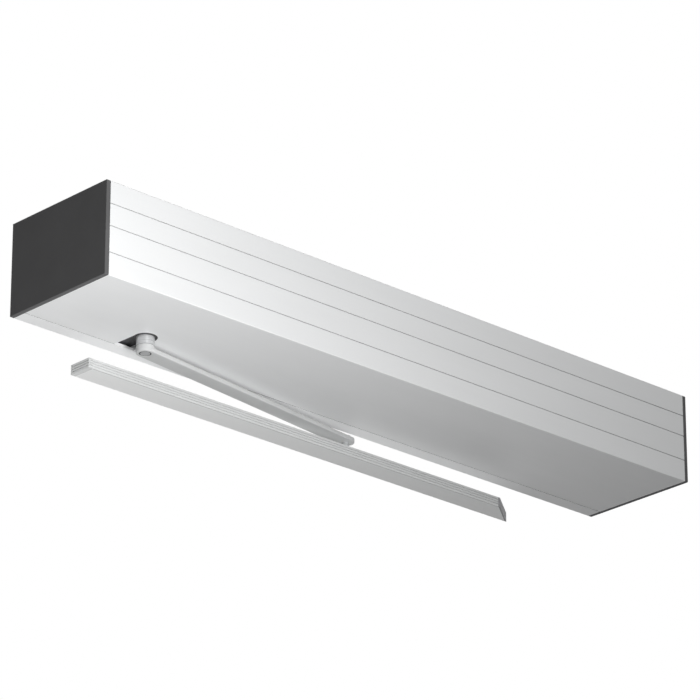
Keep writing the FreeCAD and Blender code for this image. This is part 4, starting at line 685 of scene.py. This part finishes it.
class DOOROP_OT_stage(bpy.types.Operator):
    """Set the floor, the lamps, the world and the camera"""
    bl_idname = "doorop.stage"
    bl_label = "Stage"

    FLOOR_STEPS = 96
    WHITE = (1.0, 1.0, 1.0, 1.0)
    FAR = 60.0

    def execute(self, context):
        p = context.scene.doorop_stage
        self.floor(p)
        self.lamp("front_lamp", p.front_place, p.front_target, p.front_size, p.front)
        self.lamp("lower_lamp", p.below_place, p.below_target, p.below_size, p.below)
        self.sun("rear_sun", p.back_from, p.back_angle, p.back)
        self.world(context.scene, p.ambient)
        self.camera(context.scene, p)
        return {"FINISHED"}

    def face(self, obj, direction):
        """Turns a lamp or camera to look along a direction."""
        obj.rotation_mode = "QUATERNION"
        obj.rotation_quaternion = Vector(direction).to_track_quat("-Z", "Y")

    def floor(self, p):
        mesh = bpy.data.meshes.new("studio_floor")
        bm = bmesh.new()
        bmesh.ops.create_circle(bm, cap_ends=True, segments=self.FLOOR_STEPS, radius=p.floor_radius)
        bmesh.ops.translate(bm, verts=bm.verts, vec=(0, 0, p.floor))
        bm.to_mesh(mesh)
        bm.free()
        mesh.materials.append(self.floor_finish(p))
        show("studio_floor", mesh)

    def floor_finish(self, p):
        """Pale where it is seen, and dark enough not to light the operator from below."""
        t = Tree("pale_floor")
        t.set(Base_Color=rgba(p.floor_colour), Roughness=1.0, Specular_IOR_Level=0.0)
        pale = t.node("BsdfDiffuse", Color=(0.8, 0.8, 0.8, 1.0)).outputs[0]
        glow = t.node("Emission", Color=self.WHITE, Strength=0.62).outputs[0]
        lit = t.node("AddShader", _0=pale, _1=glow).outputs[0]
        shown = t.node("MixShader", _0=self.seen(t), _1=t.shader.outputs[0], _2=lit).outputs[0]
        t.links.new(shown, t.output.inputs["Surface"])
        return t.material

    def seen(self, t):
        """1 for what the camera sees, also by way of metal and glass."""
        path = t.node("LightPath").outputs
        both = t.math("MAXIMUM", path["Is Camera Ray"], path["Is Glossy Ray"])
        return t.math("MAXIMUM", both, path["Is Transmission Ray"])

    def lamp(self, name, place, target, size, power):
        data = bpy.data.lights.new(name, "AREA")
        data.shape = "DISK"
        data.size = size
        data.energy = power
        obj = show(name, data)
        obj.location = place
        obj.visible_camera = False
        self.face(obj, Vector(target) - Vector(place))

    def sun(self, name, origin, angle, strength):
        data = bpy.data.lights.new(name, "SUN")
        data.angle = angle
        data.energy = strength
        self.face(show(name, data), -Vector(origin))

    def world(self, scene, ambient):
        world = bpy.data.worlds.new("white_studio")
        world.use_nodes = True
        nodes, links = world.node_tree.nodes, world.node_tree.links
        nodes.clear()
        path = nodes.new("ShaderNodeLightPath").outputs
        seen = path["Is Camera Ray"]
        for name in ("Is Glossy Ray", "Is Transmission Ray"):
            either = nodes.new("ShaderNodeMath")
            either.operation = "MAXIMUM"
            links.new(seen, either.inputs[0])
            links.new(path[name], either.inputs[1])
            seen = either.outputs[0]
        mixed = nodes.new("ShaderNodeMixShader")
        links.new(seen, mixed.inputs[0])
        for socket, strength in ((1, ambient), (2, 1.0)):
            light = nodes.new("ShaderNodeBackground")
            light.inputs["Color"].default_value = self.WHITE
            light.inputs["Strength"].default_value = strength
            links.new(light.outputs[0], mixed.inputs[socket])
        links.new(mixed.outputs[0], nodes.new("ShaderNodeOutputWorld").inputs["Surface"])
        scene.world = world

    def camera(self, scene, p):
        data = bpy.data.cameras.new("camera")
        data.lens = p.lens
        data.clip_end = self.FAR
        obj = show("camera", data)
        obj.location = p.camera
        self.face(obj, Vector(p.target) - Vector(p.camera))
        scene.camera = obj
        scene.view_settings.view_transform = "Standard"


class DOOROP_PT_panel(bpy.types.Panel):
    """Lists the pieces' operators and their sizes and colours"""
    bl_label = "Door Operator"
    bl_idname = "DOOROP_PT_panel"
    bl_space_type = "VIEW_3D"
    bl_region_type = "UI"
    bl_category = "Door Operator"

    def draw(self, context):
        for operator, group in STEPS:
            box = self.layout.box()
            box.operator(operator.bl_idname)
            settings = getattr(context.scene, group)
            for key in settings.bl_rna.properties.keys():
                if key not in ("rna_type", "name"):
                    box.prop(settings, key)


GROUPS = {
    "doorop_housing": DOOROP_PG_housing,
    "doorop_arm": DOOROP_PG_arm,
    "doorop_rail": DOOROP_PG_rail,
    "doorop_drive": DOOROP_PG_drive,
    "doorop_control": DOOROP_PG_control,
    "doorop_stage": DOOROP_PG_stage,
}
STEPS = (
    (DOOROP_OT_housing, "doorop_housing"),
    (DOOROP_OT_gap_shades, "doorop_housing"),
    (DOOROP_OT_drive, "doorop_drive"),
    (DOOROP_OT_spring, "doorop_drive"),
    (DOOROP_OT_control, "doorop_control"),
    (DOOROP_OT_switch, "doorop_control"),
    (DOOROP_OT_arm, "doorop_arm"),
    (DOOROP_OT_rail, "doorop_rail"),
    (DOOROP_OT_stage, "doorop_stage"),
)


def register():
    for name, group in GROUPS.items():
        bpy.utils.register_class(group)
        setattr(bpy.types.Scene, name, bpy.props.PointerProperty(type=group))
    for operator, _ in STEPS:
        bpy.utils.register_class(operator)
    bpy.utils.register_class(DOOROP_PT_panel)


def unregister():
    bpy.utils.unregister_class(DOOROP_PT_panel)
    for operator, _ in reversed(STEPS):
        bpy.utils.unregister_class(operator)
    for name, group in reversed(GROUPS.items()):
        delattr(bpy.types.Scene, name)
        bpy.utils.unregister_class(group)


def main():
    register()
    for operator, _ in STEPS:
        getattr(bpy.ops.doorop, operator.bl_idname.split(".")[1])()


if __name__ == "__main__":
    main()
